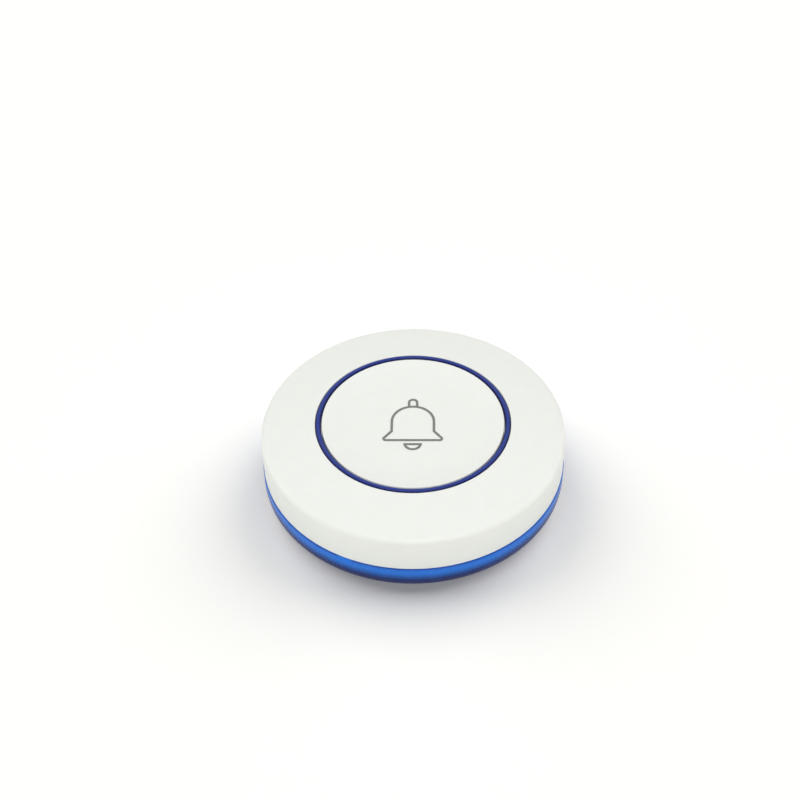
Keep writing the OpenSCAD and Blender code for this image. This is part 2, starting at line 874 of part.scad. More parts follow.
base_shell();
top_cover();
trim_ring();
button_cap();
bell_mark();
button_seal();
case_gasket();
adhesive_pad();
circuit_board();
board_screws();
antenna_loop();
switch_base();
switch_terminals();
switch_dome();
switch_plunger();
switch_cover();
coin_cell();
battery_clip();
negative_contact();
encoder_chip();
chip_leads();
crystal_can();
rf_transistor();
transistor_leads();
chip_resistors();
chip_capacitors();
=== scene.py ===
"""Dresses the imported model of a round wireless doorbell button.

The case, the press cap and the soft pieces are surfaces worked out on grids and put over their
CAD solids. The parts inside keep their CAD shapes and get their finishes here.
"""

import math
from collections import namedtuple

import bmesh
import bpy
import numpy as np
from bpy.props import FloatProperty, FloatVectorProperty, IntProperty, PointerProperty
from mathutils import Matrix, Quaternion, Vector


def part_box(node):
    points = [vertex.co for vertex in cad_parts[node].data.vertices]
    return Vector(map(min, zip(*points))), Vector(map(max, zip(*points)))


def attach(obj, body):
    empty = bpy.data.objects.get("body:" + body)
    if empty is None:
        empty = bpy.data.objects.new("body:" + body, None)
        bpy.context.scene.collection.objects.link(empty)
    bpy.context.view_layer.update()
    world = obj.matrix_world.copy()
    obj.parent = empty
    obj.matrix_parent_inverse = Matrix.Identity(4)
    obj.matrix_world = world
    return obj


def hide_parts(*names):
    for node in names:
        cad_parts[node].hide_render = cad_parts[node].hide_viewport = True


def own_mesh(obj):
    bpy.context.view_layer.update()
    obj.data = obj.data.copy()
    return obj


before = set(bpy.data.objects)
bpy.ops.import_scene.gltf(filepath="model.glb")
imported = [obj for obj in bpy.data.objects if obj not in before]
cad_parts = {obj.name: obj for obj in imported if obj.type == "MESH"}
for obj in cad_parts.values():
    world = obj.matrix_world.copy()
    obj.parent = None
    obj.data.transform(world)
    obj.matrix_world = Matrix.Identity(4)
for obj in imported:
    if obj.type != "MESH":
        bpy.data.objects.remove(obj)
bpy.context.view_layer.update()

bl_info = {
    "name": "Wireless doorbell button",
    "version": (1, 0, 0),
    "blender": (4, 5, 0),
    "location": "View3D > Sidebar > Doorbell",
    "description": "Builds a doorbell button's case, press cap, soft pieces, finishes and stage",
    "category": "Object",
}

MM = 0.001
COLUMNS = 360  # columns round the axis, one a degree
COLUMN = 2 * math.pi / COLUMNS  # angle from one column to the next
SMALL_COLUMNS = 48  # columns round a screw boss
SHEET_COLUMNS = 96  # columns round the snap dome and the floor
CURVE_POINTS = 25  # points across the pad's edge and the snap dome
FLOOR_ROWS = 13  # rings of points in the floor
HOLE_HALF = 13  # columns from the middle of a screw hole to the side of its window
HOLE_ROWS = 12  # steps across that window from its inner to its outer radius
WELD = 1e-7  # points closer than this become one, in metres
CRISP = math.radians(34)  # edges that turn more than this stay crisp
TINY = 1e-6  # room for rounding errors in an angle
PICTURE_WIDTH = 36  # width of the picture that the lens is given for, in millimetres
WHITE_LIGHT = (1, 1, 1, 1)
NOISE_SPAN = {"From Min": 0.3, "From Max": 0.7}  # where nearly all values of a noise lie
CLOUDS = (260, 4)  # specks a metre and detail of the clouds of tone in plastic
SATIN = {"roughness": 0.42, "share": 0.008, "grain": 8000, "depth": 2e-6}  # cover and press cap

BASE_LOW, BASE_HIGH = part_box("base_shell")
COVER_LOW, COVER_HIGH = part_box("top_cover")
RING_LOW, RING_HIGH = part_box("trim_ring")
CAP_LOW, CAP_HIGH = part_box("button_cap")
SEAL_LOW, SEAL_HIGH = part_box("button_seal")
GASKET_LOW, GASKET_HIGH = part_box("case_gasket")
PAD_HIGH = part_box("adhesive_pad")[1]
DOME_LOW, DOME_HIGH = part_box("switch_dome")
BELL_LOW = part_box("bell_mark")[0]
PLUNGER_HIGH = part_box("switch_plunger")[1]

Grid = namedtuple("Grid", "points loop keep", defaults=(False, None))


def length(name, description, metres):
    """A size in metres for a PropertyGroup."""
    return FloatProperty(
        name=name, description=description, default=metres, min=0, unit="LENGTH", precision=5
    )


def angle(name, description, degrees):
    """An angle for a PropertyGroup, given in degrees."""
    return FloatProperty(
        name=name, description=description, default=math.radians(degrees), subtype="ANGLE"
    )


def level(name, description, value):
    """A plain number of 0 or more for a PropertyGroup."""
    return FloatProperty(name=name, description=description, default=value, min=0)


def count(name, description, value):
    """A whole number for a PropertyGroup."""
    return IntProperty(name=name, description=description, default=value, min=1)


def colour(name, description, red, green, blue):
    """A colour for a PropertyGroup, given on the screen's scale of 0 to 255, kept as linear light."""
    screen = np.array([red, green, blue]) / 255
    linear = np.where(screen <= 0.04045, screen / 12.92, ((screen + 0.055) / 1.055) ** 2.4)
    return FloatVectorProperty(
        name=name, description=description, default=linear.tolist(), min=0, max=1, subtype="COLOR"
    )


def heading(name, description, x, y, z):
    """A direction from the button for a PropertyGroup."""
    return FloatVectorProperty(
        name=name, description=description, default=(x, y, z), subtype="DIRECTION"
    )


def spot(name, description, x, y, z):
    """A place for a PropertyGroup, given in millimetres."""
    return FloatVectorProperty(
        name=name, description=description, default=(x * MM, y * MM, z * MM),
        subtype="TRANSLATION", unit="LENGTH",
    )


def group(kind, name, description):
    """A PropertyGroup inside another or on the scene."""
    return PointerProperty(type=kind, name=name, description=description)


class CoverSizes(bpy.types.PropertyGroup):
    """The white cover"""

    radius: length("Radius", "Radius of the side wall", COVER_HIGH.x)
    shoulder: length("Shoulder", "Height of the roof where it meets the trim ring", COVER_HIGH.z)
    lower_edge: length("Lower edge", "Height of the side wall's lower edge", 6.55 * MM)
    roof_fall: length("Roof fall", "How far the roof falls from the ring to the edge", 1.45 * MM)
    edge_round: length("Edge rounding", "Radius between the roof and the side wall", 1.2 * MM)
    roof: length("Roof", "Thickness of the roof", 2 * MM)
    wall: length("Wall", "Thickness of the side wall", 1.9 * MM)
    socket_fit: length("Socket fit", "Room round the trim ring", 0.05 * MM)
    ledge: length("Ledge", "Thickness of the ledge that carries the trim ring", 1.2 * MM)
    rib_radius: length("Rib radius", "Inner radius of the rib that clamps the seal", 19.9 * MM)
    rib: length("Rib", "Thickness of the rib that clamps the seal", 1 * MM)
    rib_low: length("Rib's lower edge", "Height of the lower edge of that rib", 8.8 * MM)
    tongue: length("Tongue", "Thickness of the tongue that enters the base's groove", 0.95 * MM)
    tongue_low: length("Tongue's lower edge", "Height of the tongue's lower edge", COVER_LOW.z)
    catch_reach: length("Catch reach", "How far a catch stands in from the wall", 0.45 * MM)
    catch_low: length("Catch", "Height of a catch's lower side", 7.55 * MM)
    catch_rise: length("Catch rise", "How high a catch is", 1 * MM)
    catch_span: angle("Catch span", "Angle that a catch takes of the wall", 16)
    boss_count: count("Bosses", "Number of screw bosses", 3)
    boss_circle: length("Boss circle", "Distance of the screw bosses from the axis", 23.5 * MM)
    boss_radius: length("Boss radius", "Radius of a screw boss", 1.9 * MM)
    boss_low: length("Boss's lower end", "Height at which a boss meets the board", SEAL_LOW.z)
    boss_edge: length("Boss edge", "Rounding of a boss's lower end", 0.1 * MM)
    pilot_radius: length("Pilot radius", "Radius of a boss's pilot hole", 0.85 * MM)
    pilot_depth: length("Pilot depth", "Depth of a boss's pilot hole", 4.5 * MM)


class RingSizes(bpy.types.PropertyGroup):
    """The navy trim ring"""

    outer: length("Outer radius", "Outer radius of the bead", RING_HIGH.x)
    width: length("Width", "Width of the bead", 1.1 * MM)
    foot: length("Foot", "Height of the ledge that it stands on", RING_LOW.z)
    crest: length("Crest", "Height of the bead's crest", RING_HIGH.z)
    # The bead's colour is paler along its crest. This is a painted highlight, which fades to navy
    # between the next two depths.
    painted_highlight_depth: length("Crest depth", "How far below its crest the bead stays bright", 0.04 * MM)
    painted_highlight_fade_depth: length("Flank depth", "How far below its crest the bead is navy", 0.15 * MM)


class CapSizes(bpy.types.PropertyGroup):
    """The press cap"""

    radius: length("Radius", "Radius of the cap above its flange", 17.9 * MM)
    rim: length("Rim", "Height of the rim", CAP_HIGH.z)
    rim_round: length("Rim rounding", "Radius of the rim's outer edge", 0.2 * MM)
    dish_floor: length("Dish floor", "Radius of the flat middle of the dish", 12 * MM)
    dish_level: length("Dish level", "Height of the flat middle of the dish", BELL_LOW.z)
    flange: length("Flange", "Radius of the flange under the ledge", CAP_HIGH.x)
    flange_top: length("Flange top", "Height of the flange's upper side", 12.7 * MM)
    flange_low: length("Flange's lower side", "Height of the flange's lower side", CAP_LOW.z)
    skirt: length("Skirt", "Thickness of the skirt", 1.2 * MM)
    underside: length("Underside", "Height of the underside", 14.25 * MM)
    post_radius: length("Post radius", "Radius of the post in the middle", 2.5 * MM)
    post_low: length("Post's end", "Height of the post's end on the seal", SEAL_HIGH.z)
    rib_count: count("Ribs", "Number of ribs under the cap", 6)
    rib: length("Rib", "Thickness of a rib", 1 * MM)
    rib_depth: length("Rib depth", "How far a rib hangs down", 0.8 * MM)
    rib_root: length("Rib root", "How far a rib reaches up into the cap", 0.2 * MM)
    rib_inner: length("Rib's inner end", "Radius inside the post at which a rib starts", 2 * MM)


class BaseSizes(bpy.types.PropertyGroup):
    """The blue base"""

    radius: length("Radius", "Radius of the base", BASE_HIGH.x)
    underside: length("Underside", "Height of the underside", BASE_LOW.z)
    rim: length("Rim", "Height of the rim at the seam", 6.3 * MM)
    belly_round: length("Belly rounding", "Radius between the underside and the rim", 3.25 * MM)
    # The next two heights bound the painted shade on the lower base: under the first the colour is
    # fully painted shade, over the second it is the plain blue.
    full_painted_shade_below: length("Deep below", "Height under which the base is deep blue", 3.5 * MM)
    painted_shade_ends_above: length("Bright above", "Height over which the base is bright blue", 5.3 * MM)
    # Over this height the base's colour turns darker: painted shade in the seam under the cover's
    # edge.
    seam_shade_above: length("Lip above", "Height over which the base turns to its lip's tone", 6.05 * MM)
    floor: length("Floor", "Height of the inner floor", 2 * MM)
    corner_round: length("Corner rounding", "Radius of the corner inside", 2 * MM)
    groove_outer: length("Groove's outer wall", "Radius of the groove's outer wall", 29.05 * MM)
    groove_inner: length("Groove's inner wall", "Radius of the groove's inner wall", 27.95 * MM)
    groove_floor: length("Groove floor", "Height of the groove's floor", GASKET_LOW.z)
    recess_radius: length("Recess radius", "Radius of the recess for the foam pad", 15.3 * MM)
    recess_depth: length("Recess depth", "Depth of the recess for the foam pad", 0.6 * MM)
    screw_offset: length("Screw offset", "Distance of a screw hole from the axis", 18 * MM)
    screw_hole: length("Screw hole", "Radius of a screw hole", 2 * MM)
    screw_seat: length("Screw seat", "Radius of the raised seat round a screw hole", 3.6 * MM)
    seat_rise: length("Seat rise", "How far the seat stands above the floor", 0.6 * MM)
    notch_place: angle("Notch place", "Direction of the pry notch", 245)
    notch_span: angle("Notch span", "Angle that the pry notch takes of the rim", 5.8)
    notch_depth: length("Notch depth", "How far the pry notch goes into the rim", 0.6 * MM)
    notch_rise: length("Notch rise", "How high the pry notch is", 0.6 * MM)
    arm_count: count("Snap arms", "Number of snap arms", 4)
    arm_place: angle("Arm place", "Direction of the first snap arm and of its catch", 45)
    arm_inner: length("Arm's inner side", "Distance of an arm's inner side from the axis", 25.8 * MM)
    arm_outer: length("Arm's outer side", "Distance of an arm's outer side from the axis", 27.2 * MM)
    arm_width: length("Arm width", "Width of a snap arm", 5 * MM)
    arm_top: length("Arm top", "Height of a snap arm", BASE_HIGH.z)
    barb_reach: length("Barb reach", "How far a barb stands out from its arm", 0.5 * MM)
    barb_rise: length("Barb rise", "How high a barb is", 1.2 * MM)


class SoftSizes(bpy.types.PropertyGroup):
    """The foam pad, the seal, the gasket and the snap dome"""

    pad_radius: length("Pad radius", "Radius of the foam pad", PAD_HIGH.x)
    pad_top: length("Pad top", "Height of the foam pad's upper face", PAD_HIGH.z)
    pad_edge: length("Pad edge", "How far the pad's cut edge pulls in at its two faces", 0.16 * MM)
    seal_web: length("Seal web", "Thickness of the seal's web", 0.6 * MM)
    seal_crown: length("Seal crown", "Radius of the seal's flat crown", 6.5 * MM)
    seal_foot: length("Seal foot", "Radius at which the seal's cone meets its rim", 12 * MM)
    seal_nub: length("Seal nub", "Radius of the nub that meets the plunger", 1.6 * MM)
    seal_rim: length("Seal rim", "Height of the seal's clamped rim", 8.8 * MM)
    seal_inner: length("Seal's inner rim", "Inner radius of the seal's thick rim", 19.5 * MM)
    gasket_inner: length("Gasket's inner side", "Inner radius of the gasket", 28 * MM)
    dome_sheet: length("Snap dome sheet", "Thickness of the snap dome's sheet", 0.1 * MM)


class EdgeSizes(bpy.types.PropertyGroup):
    """Small roundings left by the moulds"""

    seam: length("Seam edge", "Rounding of the edges along the seam", 0.13 * MM)
    socket: length("Socket edge", "Rounding of the edges beside the trim ring", 0.1 * MM)
    inner: length("Inner edge", "Rounding of the edges inside the case", 0.15 * MM)
    rubber: length("Rubber edge", "Rounding of the soft pieces' edges", 0.2 * MM)


class FinishColours(bpy.types.PropertyGroup):
    """The colours of all finishes"""

    white: colour("White", "Cover and press cap", 239, 241, 235)
    blue: colour("Blue", "Base along its rim", 44, 119, 219)
    # Painted shade: this darker blue on the lower base stands in for the shade under its belly.
    painted_shade_blue: colour("Deep blue", "Base below its rim", 38, 50, 102)
    # Painted shade: this darker lip stands in for the shade in the seam under the cover's edge.
    seam_shade_blue: colour("Lip blue", "Lip of the base at the seam", 48, 98, 184)
    navy: colour("Navy", "Flanks of the trim ring", 20, 26, 86)
    # Painted highlight: this paler blue on the crest stands in for light caught along the bead's top.
    painted_highlight_blue: colour("Crest blue", "Crest of the trim ring", 46, 64, 142)
    ink: colour("Ink", "Printed bell symbol", 120, 124, 118)
    silicone: colour("Silicone", "Seal under the press cap", 201, 205, 208)
    rubber: colour("Rubber", "Gasket in the seam", 59, 61, 64)
    foam: colour("Foam", "Pad under the base", 232, 230, 222)
    laminate: colour("Laminate", "Circuit board", 46, 122, 74)
    copper: colour("Copper", "Antenna loop", 201, 138, 75)
    black: colour("Black", "Moulded black parts", 38, 40, 43)
    ceramic: colour("Ceramic", "Chip capacitors", 179, 154, 120)
    resistor: colour("Resistor", "Chip resistors", 43, 44, 48)
    tin: colour("Tin", "Leads and terminals", 196, 199, 203)
    steel: colour("Steel", "Snap dome and switch cover", 196, 199, 203)
    nickel: colour("Nickel", "Coin cell and crystal can", 182, 185, 189)
    zinc: colour("Zinc", "Board screws", 185, 188, 192)
    brass: colour("Brass", "Battery clip and contact", 205, 178, 106)
    floor: colour("Floor", "Floor under the button", 255, 255, 255)


class StageSettings(bpy.types.PropertyGroup):
    """Floor, light and camera"""

    floor_radius: length("Floor radius", "Radius of the floor", 900 * MM)
    floor_lift: level("Floor lift", "How far the floor is lifted to white", 0.2)
    sky: level("Sky", "Strength of the even light from all round", 0.05)
    back: level("Back lamp", "Strength of the soft lamp behind the button", 0.68)
    side: level("Side lamps", "Strength of each of the two soft lamps beside the button", 0.92)
    fill: level("Fill lamp", "Strength of the lamp in front", 1.8)
    floor_lamp: level("Floor lamps", "Strength of each lamp that lights only the floor", 1.98)
    floor_tone: colour("Floor tone", "Colour of the floor's lamps", 255, 254, 250)
    back_from: heading("Back from", "Direction of the lamp behind", 0, 0.5, 0.866)
    side_from: heading("Side from", "Direction of the right lamp", 0.853, 0.15, 0.5)
    fill_from: heading("Fill from", "Direction of the lamp in front", 0, -0.643, 0.766)
    floor_from: heading("Floor from", "Direction of the floor's right lamp", 0.637, 0.463, 0.616)
    spread: angle("Spread", "How wide each lamp looks from the button", 60)
    camera_place: spot("Camera place", "Where the camera stands", 3.689, -199.812, 211.915)
    camera_aim: spot("Camera aim", "Point in the middle of the picture", -2.618, 5.855, 15.8)
    camera_roll: angle("Camera roll", "How far the camera leans to one side", -1.2265)
    camera_lens: level("Lens", "Focal length for a 36 mm wide picture, in millimetres", 64.35)


class DoorbellSettings(bpy.types.PropertyGroup):
    """All sizes, colours and stage values of the doorbell button"""

    cover: group(CoverSizes, "Cover", "Sizes of the white cover")
    ring: group(RingSizes, "Trim ring", "Sizes of the trim ring")
    cap: group(CapSizes, "Press cap", "Sizes of the press cap")
    base: group(BaseSizes, "Base", "Sizes of the blue base")
    soft: group(SoftSizes, "Soft pieces", "Sizes of pad, seal, gasket and dome")
    edge: group(EdgeSizes, "Edges", "Small roundings left by the moulds")
    finish: group(FinishColours, "Finishes", "Colours of all finishes")
    stage: group(StageSettings, "Stage", "Floor, light and camera")


def arc(centre, radius, start, end, steps):
    """Points (r, z) of an arc: the centre plus radius times (cos a, sin a), with a going evenly
    from start to end in radians."""
    a = np.linspace(start, end, steps + 1)
    return np.column_stack([centre[0] + radius * np.cos(a), centre[1] + radius * np.sin(a)])


def sharp(points):
    """Adds a third column of zeros to points (r, z): corners with no rounding, or rows that no
    window moves."""
    points = np.asarray(points, float)
    return np.column_stack([points, np.zeros(len(points))])


def rounded(corners, steps=5):
    """Outline through corners (r, z, radius). Each inner corner is cut back on both sides by its
    radius over the tangent of half its angle, and an arc of that radius joins the two cuts. The two
    end corners stay."""
    corners = np.asarray(corners, float)
    tip, radius = corners[1:-1, :2], corners[1:-1, 2]
    back = corners[:-2, :2] - tip
    ahead = corners[2:, :2] - tip
    back /= np.linalg.norm(back, axis=1, keepdims=True)
    ahead /= np.linalg.norm(ahead, axis=1, keepdims=True)
    half = np.arccos(np.clip((back * ahead).sum(axis=1), -1, 1)) / 2
    middle = back + ahead
    middle /= np.maximum(np.linalg.norm(middle, axis=1, keepdims=True), 1e-12)
    centre = tip + middle * (radius / np.sin(half))[:, None]
    cut = (radius / np.tan(half))[:, None]
    first, last = tip + back * cut - centre, tip + ahead * cut - centre
    turn = np.maximum(math.pi - 2 * half, TINY)[:, None, None]
    share = np.linspace(0, 1, steps + 1)[None, :, None]
    bow = np.sin((1 - share) * turn) * first[:, None] + np.sin(share * turn) * last[:, None]
    arcs = centre[:, None] + bow / np.sin(turn)
    outline = np.concatenate([corners[:1, :2], arcs.reshape(-1, 2), corners[-1:, :2]])
    apart = np.linalg.norm(np.diff(outline, axis=0), axis=1) > WELD
    return outline[np.concatenate([[True], apart])]


def window(first, pitch, span):
    """1 on the columns within half the span of the directions first, first + pitch and so on, and 0
    elsewhere."""
    column = np.arange(COLUMNS) * COLUMN
    off = np.abs((column - first + pitch / 2) % pitch - pitch / 2)
    return (off < span / 2).astype(float)


def turned(profile, shift=None, columns=COLUMNS):
    """Carries a profile (r, z) round the Z axis: point (i, j) lies at angle a_j, radius r_i and
    height z_i. With a shift of 0 or 1 for each column, a row with a third value d moves inwards by
    d_i times shift_j."""
    profile = np.asarray(profile, float)
    a = np.arange(columns) * 2 * math.pi / columns
    r = np.repeat(profile[:, :1], columns, axis=1)
    if shift is not None:
        r = r - profile[:, 2:3] * shift
    z = np.repeat(profile[:, 1:2], columns, axis=1)
    return np.stack([r * np.cos(a), r * np.sin(a), z], axis=-1)


def placed(points, distance, direction):
    """Moves points out along X by a distance and turns them about the Z axis to a direction in
    radians."""
    x, y, z = points[..., 0] + distance, points[..., 1], points[..., 2]
    c, s = math.cos(direction), math.sin(direction)
    return np.stack([c * x - s * y, s * x + c * y, z], axis=-1)


def pillar(inner, outer, width, height):
    """A stack of rectangles: at height_k it reaches from inner_k to outer_k along X and is width
    wide along Y. Each end closes on its middle point."""
    x = np.stack([inner, outer, outer, inner], axis=1)
    y = np.array([-0.5, -0.5, 0.5, 0.5]) * width
    stack = np.stack(np.broadcast_arrays(x, y, np.asarray(height)[:, None]), axis=-1)
    middle = np.repeat(stack.mean(axis=1, keepdims=True), 4, axis=1)
    return np.concatenate([middle[:1], stack, middle[-1:]])


def around(number, first):
    """Directions of a number of like shapes spread evenly about the axis, in radians."""
    return first + np.arange(number) * 2 * math.pi / number


def cells(grid):
    """Corner numbers of a grid's quads: cell (i, j) joins its point to those of the next row and
    column. Columns always close on themselves, and rows do where the grid is a loop."""
    rows, columns = grid.points.shape[:2]
    i = np.arange(rows if grid.loop else rows - 1)[:, None]
    j = np.arange(columns)[None, :]
    if grid.keep is not None:
        j = j[:, grid.keep]
    below, beside = (i + 1) % rows, (j + 1) % columns
    corners = [i * columns + j, i * columns + beside, below * columns + beside, below * columns + j]
    return np.stack(np.broadcast_arrays(*corners), axis=-1).reshape(-1, 4)


def welded_mesh(name, grids, closed=True):
    """Joins grids into one mesh and merges the points that meet. A closed one gets its faces turned
    outwards."""
    sizes = [grid.points.shape[0] * grid.points.shape[1] for grid in grids]
    starts = np.cumsum([0] + sizes[:-1])
    points = np.concatenate([grid.points.reshape(-1, 3) for grid in grids])
    faces = np.concatenate([cells(grid) + start for grid, start in zip(grids, starts)])
    mesh = bpy.data.meshes.new(name)
    mesh.from_pydata(points.tolist(), [], faces.tolist())
    shell = bmesh.new()
    shell.from_mesh(mesh)
    bmesh.ops.remove_doubles(shell, verts=shell.verts, dist=WELD)
    if closed:
        bmesh.ops.recalc_face_normals(shell, faces=shell.faces)
        if any(not edge.is_manifold for edge in shell.edges):
            raise RuntimeError(f"{name} is not a closed surface")
    shell.to_mesh(mesh)
    shell.free()
    return mesh


def make_piece(name, grids, material, body, node):
    """Makes a piece from grids, smooth but for its crisp edges, and puts it on a body in place of a
    CAD node."""
    mesh = welded_mesh(name, grids)
    mesh.polygons.foreach_set("use_smooth", np.ones(len(mesh.polygons), bool))
    mesh.set_sharp_from_angle(angle=CRISP)
    mesh.materials.append(material)
    piece = bpy.data.objects.new(name, mesh)
    bpy.context.scene.collection.objects.link(piece)
    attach(piece, body)
    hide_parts(node)
    return piece


def dress(node, material):
    """Puts a finish on a CAD node that stays in view."""
    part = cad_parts[node]
    part.material_slots[0].material = material


class Finish:
    """A procedural finish: one shader, with nodes on Object coordinates added step by step."""

    def __init__(self, name, roughness, metallic=0.0, ior=1.46, shine=0.5):
        self.material = bpy.data.materials.new(name)
        self.material.use_nodes = True
        self.tree = self.material.node_tree
        self.tree.nodes.clear()
        output = self.node("ShaderNodeOutputMaterial")
        self.shader = self.node(
            "ShaderNodeBsdfPrincipled",
            {"Roughness": roughness, "Metallic": metallic, "IOR": ior, "Specular IOR Level": shine},
        )
        self.coords = self.node("ShaderNodeTexCoord").outputs["Object"]
        self.link(self.shader.outputs["BSDF"], output.inputs["Surface"])
        self.roughness = roughness

    def node(self, kind, values=None, **settings):
        """Adds a node with its settings and socket values."""
        node = self.tree.nodes.new(kind)
        for setting, value in settings.items():
            setattr(node, setting, value)
        for socket, value in (values or {}).items():
            node.inputs[socket].default_value = value
        return node

    def link(self, source, target):
        """Joins an output to an input."""
        self.tree.links.new(source, target)

    def noise(self, scale, detail=3.0, stretch=(1, 1, 1)):
        """Soft noise with about scale specks a metre, drawn out along the axes where stretch is
        below 1."""
        mapping = self.node("ShaderNodeMapping", {"Scale": stretch})
        values = {"Scale": scale, "Detail": detail, "Roughness": 0.55}
        noise = self.node("ShaderNodeTexNoise", values)
        self.link(self.coords, mapping.inputs["Vector"])
        self.link(mapping.outputs["Vector"], noise.inputs["Vector"])
        return noise.outputs["Fac"]

    def tint(self, source, colour, share, low=0.35, high=0.65):
        """Base colour from a pattern: the colour less a share of itself at the low end, plus it at
        the high end."""
        ramp = self.node("ShaderNodeValToRGB")
        tone = np.array(colour[:])
        ends = zip(ramp.color_ramp.elements, (low, high), (1 - share, 1 + share))
        for element, place, gain in ends:
            element.position = place
            element.color = (*np.clip(tone * gain, 0, 1), 1)
        self.link(source, ramp.inputs["Fac"])
        self.link(ramp.outputs["Color"], self.shader.inputs["Base Color"])

    def polish(self, source, spread):
        """Roughness that a pattern moves up and down by a spread."""
        ends = {"To Min": self.roughness - spread, "To Max": self.roughness + spread}
        span = self.node("ShaderNodeMapRange", {**NOISE_SPAN, **ends})
        self.link(source, span.inputs["Value"])
        self.link(span.outputs["Result"], self.shader.inputs["Roughness"])

    def relief(self, source, depth, strength=1.0):
        """Small bumps of a depth in metres from a pattern."""
        bump = self.node("ShaderNodeBump", {"Strength": strength, "Distance": depth})
        self.link(source, bump.inputs["Height"])
        self.link(bump.outputs["Normal"], self.shader.inputs["Normal"])

    def grain(self, source, spread, depth):
        """One pattern in both: roughness that it moves by a spread, and bumps of a depth."""
        self.polish(source, spread)
        self.relief(source, depth)


def moulded_plastic(name, colour, roughness, share, grain, depth):
    """Moulded plastic: faint clouds of tone, and the mould's fine grain in gloss and relief."""
    finish = Finish(name, roughness)
    finish.tint(finish.noise(*CLOUDS), colour, share)
    finish.grain(finish.noise(grain, detail=2), spread=0.05, depth=depth)
    return finish.material


def drawn_metal(name, colour, roughness, stretch):
    """Drawn or stamped metal: fine lines along the way that it was drawn, with small stains."""
    finish = Finish(name, roughness, metallic=1.0)
    finish.tint(finish.noise(scale=700, detail=4), colour, share=0.08)
    finish.grain(finish.noise(9000, 3, stretch), spread=0.08, depth=2e-6)
    return finish.material


def plastic_with_painted_light(name, tones, roughness, shine):
    """Glossy plastic whose colour goes through tones (height, colour) from the lowest to the highest:
    light and shade painted into the colour by height, under the same faint clouds and grain as other
    moulded plastic."""
    finish = Finish(name, roughness, ior=1.5, shine=shine)
    low, high = tones[0][0], tones[-1][0]
    place = finish.node("ShaderNodeSeparateXYZ")
    finish.link(finish.coords, place.inputs["Vector"])
    rise = finish.node("ShaderNodeMapRange", {"From Min": low, "From Max": high})
    finish.link(place.outputs["Z"], rise.inputs["Value"])
    clouds = finish.node("ShaderNodeMapRange", {**NOISE_SPAN, "To Min": -0.03, "To Max": 0.03})
    finish.link(finish.noise(*CLOUDS), clouds.inputs["Value"])
    blend = finish.node("ShaderNodeMath", operation="ADD")
    finish.link(rise.outputs["Result"], blend.inputs[0])
    finish.link(clouds.outputs["Result"], blend.inputs[1])
    ramp = finish.node("ShaderNodeValToRGB")
    stops = ramp.color_ramp.elements
    stops[0].color = (*tones[0][1], 1)
    stops[1].color = (*tones[-1][1], 1)
    for height, tone in tones[1:-1]:
        stops.new((height - low) / (high - low)).color = (*tone, 1)
    finish.link(blend.outputs["Value"], ramp.inputs["Fac"])
    finish.link(ramp.outputs["Color"], finish.shader.inputs["Base Color"])
    finish.grain(finish.noise(scale=6000, detail=2), spread=0.05, depth=1e-6)
    return finish.material


def printed_ink(colour):
    """Pad-printed ink: a matt film that is a little thinner in places."""
    finish = Finish("grey_print", roughness=0.6)
    finish.tint(finish.noise(scale=1500, detail=5), colour, share=0.07)
    finish.grain(finish.noise(scale=9000, detail=2), spread=0.06, depth=2e-6)
    return finish.material


def soft_rubber(name, colour, clear):
    """Moulded rubber or silicone: matt, dusty in places, with light passing a little way in."""
    finish = Finish(name, roughness=0.55, ior=1.41)
    finish.shader.inputs["Subsurface Weight"].default_value = clear
    finish.shader.inputs["Subsurface Radius"].default_value = (2 * MM, 2 * MM, 2 * MM)
    finish.shader.inputs["Subsurface Scale"].default_value = 0.4
    finish.tint(finish.noise(scale=500, detail=4), colour, share=0.06)
    finish.grain(finish.noise(scale=5000, detail=3), spread=0.08, depth=4e-6)
    return finish.material


def cell_foam(colour):
    """Closed-cell foam: round cells about a fifth of a millimetre wide, paler at their walls and
    darker in their middles as painted shade.
    """
    finish = Finish("white_cell_foam", roughness=0.75)
    pores = finish.node("ShaderNodeTexVoronoi", {"Scale": 4600.0}, feature="F1")
    finish.link(finish.coords, pores.inputs["Vector"])
    # Painted shade: the cells' middles are darker, standing in for shade in their hollows.
    finish.tint(pores.outputs["Distance"], colour, share=0.07, low=0.1, high=0.7)
    finish.polish(pores.outputs["Distance"], spread=0.1)
    finish.relief(pores.outputs["Distance"], depth=3e-5, strength=0.6)
    return finish.material


def glass_laminate(colour):
    """Circuit board: green lacquer over a woven glass cloth that shows as two crossing sets of
    threads."""
    finish = Finish("green_lacquer", roughness=0.3, ior=1.5)
    cloth = {"Scale": 420.0, "Distortion": 1.2, "Detail": 2.0}
    threads = []
    for axis in ("X", "Y"):
        wave = finish.node("ShaderNodeTexWave", cloth, bands_direction=axis)
        finish.link(finish.coords, wave.inputs["Vector"])
        threads.append(wave.outputs["Fac"])
    weave = finish.node("ShaderNodeMath", operation="MULTIPLY")
    finish.link(threads[0], weave.inputs[0])
    finish.link(threads[1], weave.inputs[1])
    finish.tint(weave.outputs["Value"], colour, share=0.18, low=0.0, high=1.0)
    finish.polish(finish.noise(scale=1800, detail=3), spread=0.06)
    finish.relief(weave.outputs["Value"], depth=6e-6)
    return finish.material


def paper_floor(colour, lift):
    """Studio paper: matt, with faint fibres, and lifted a little to white."""
    finish = Finish("studio_paper", roughness=0.9, shine=0.0)
    finish.shader.inputs["Emission Color"].default_value = WHITE_LIGHT
    finish.shader.inputs["Emission Strength"].default_value = lift
    finish.tint(finish.noise(scale=220, detail=5), colour, share=0.004)
    return finish.material


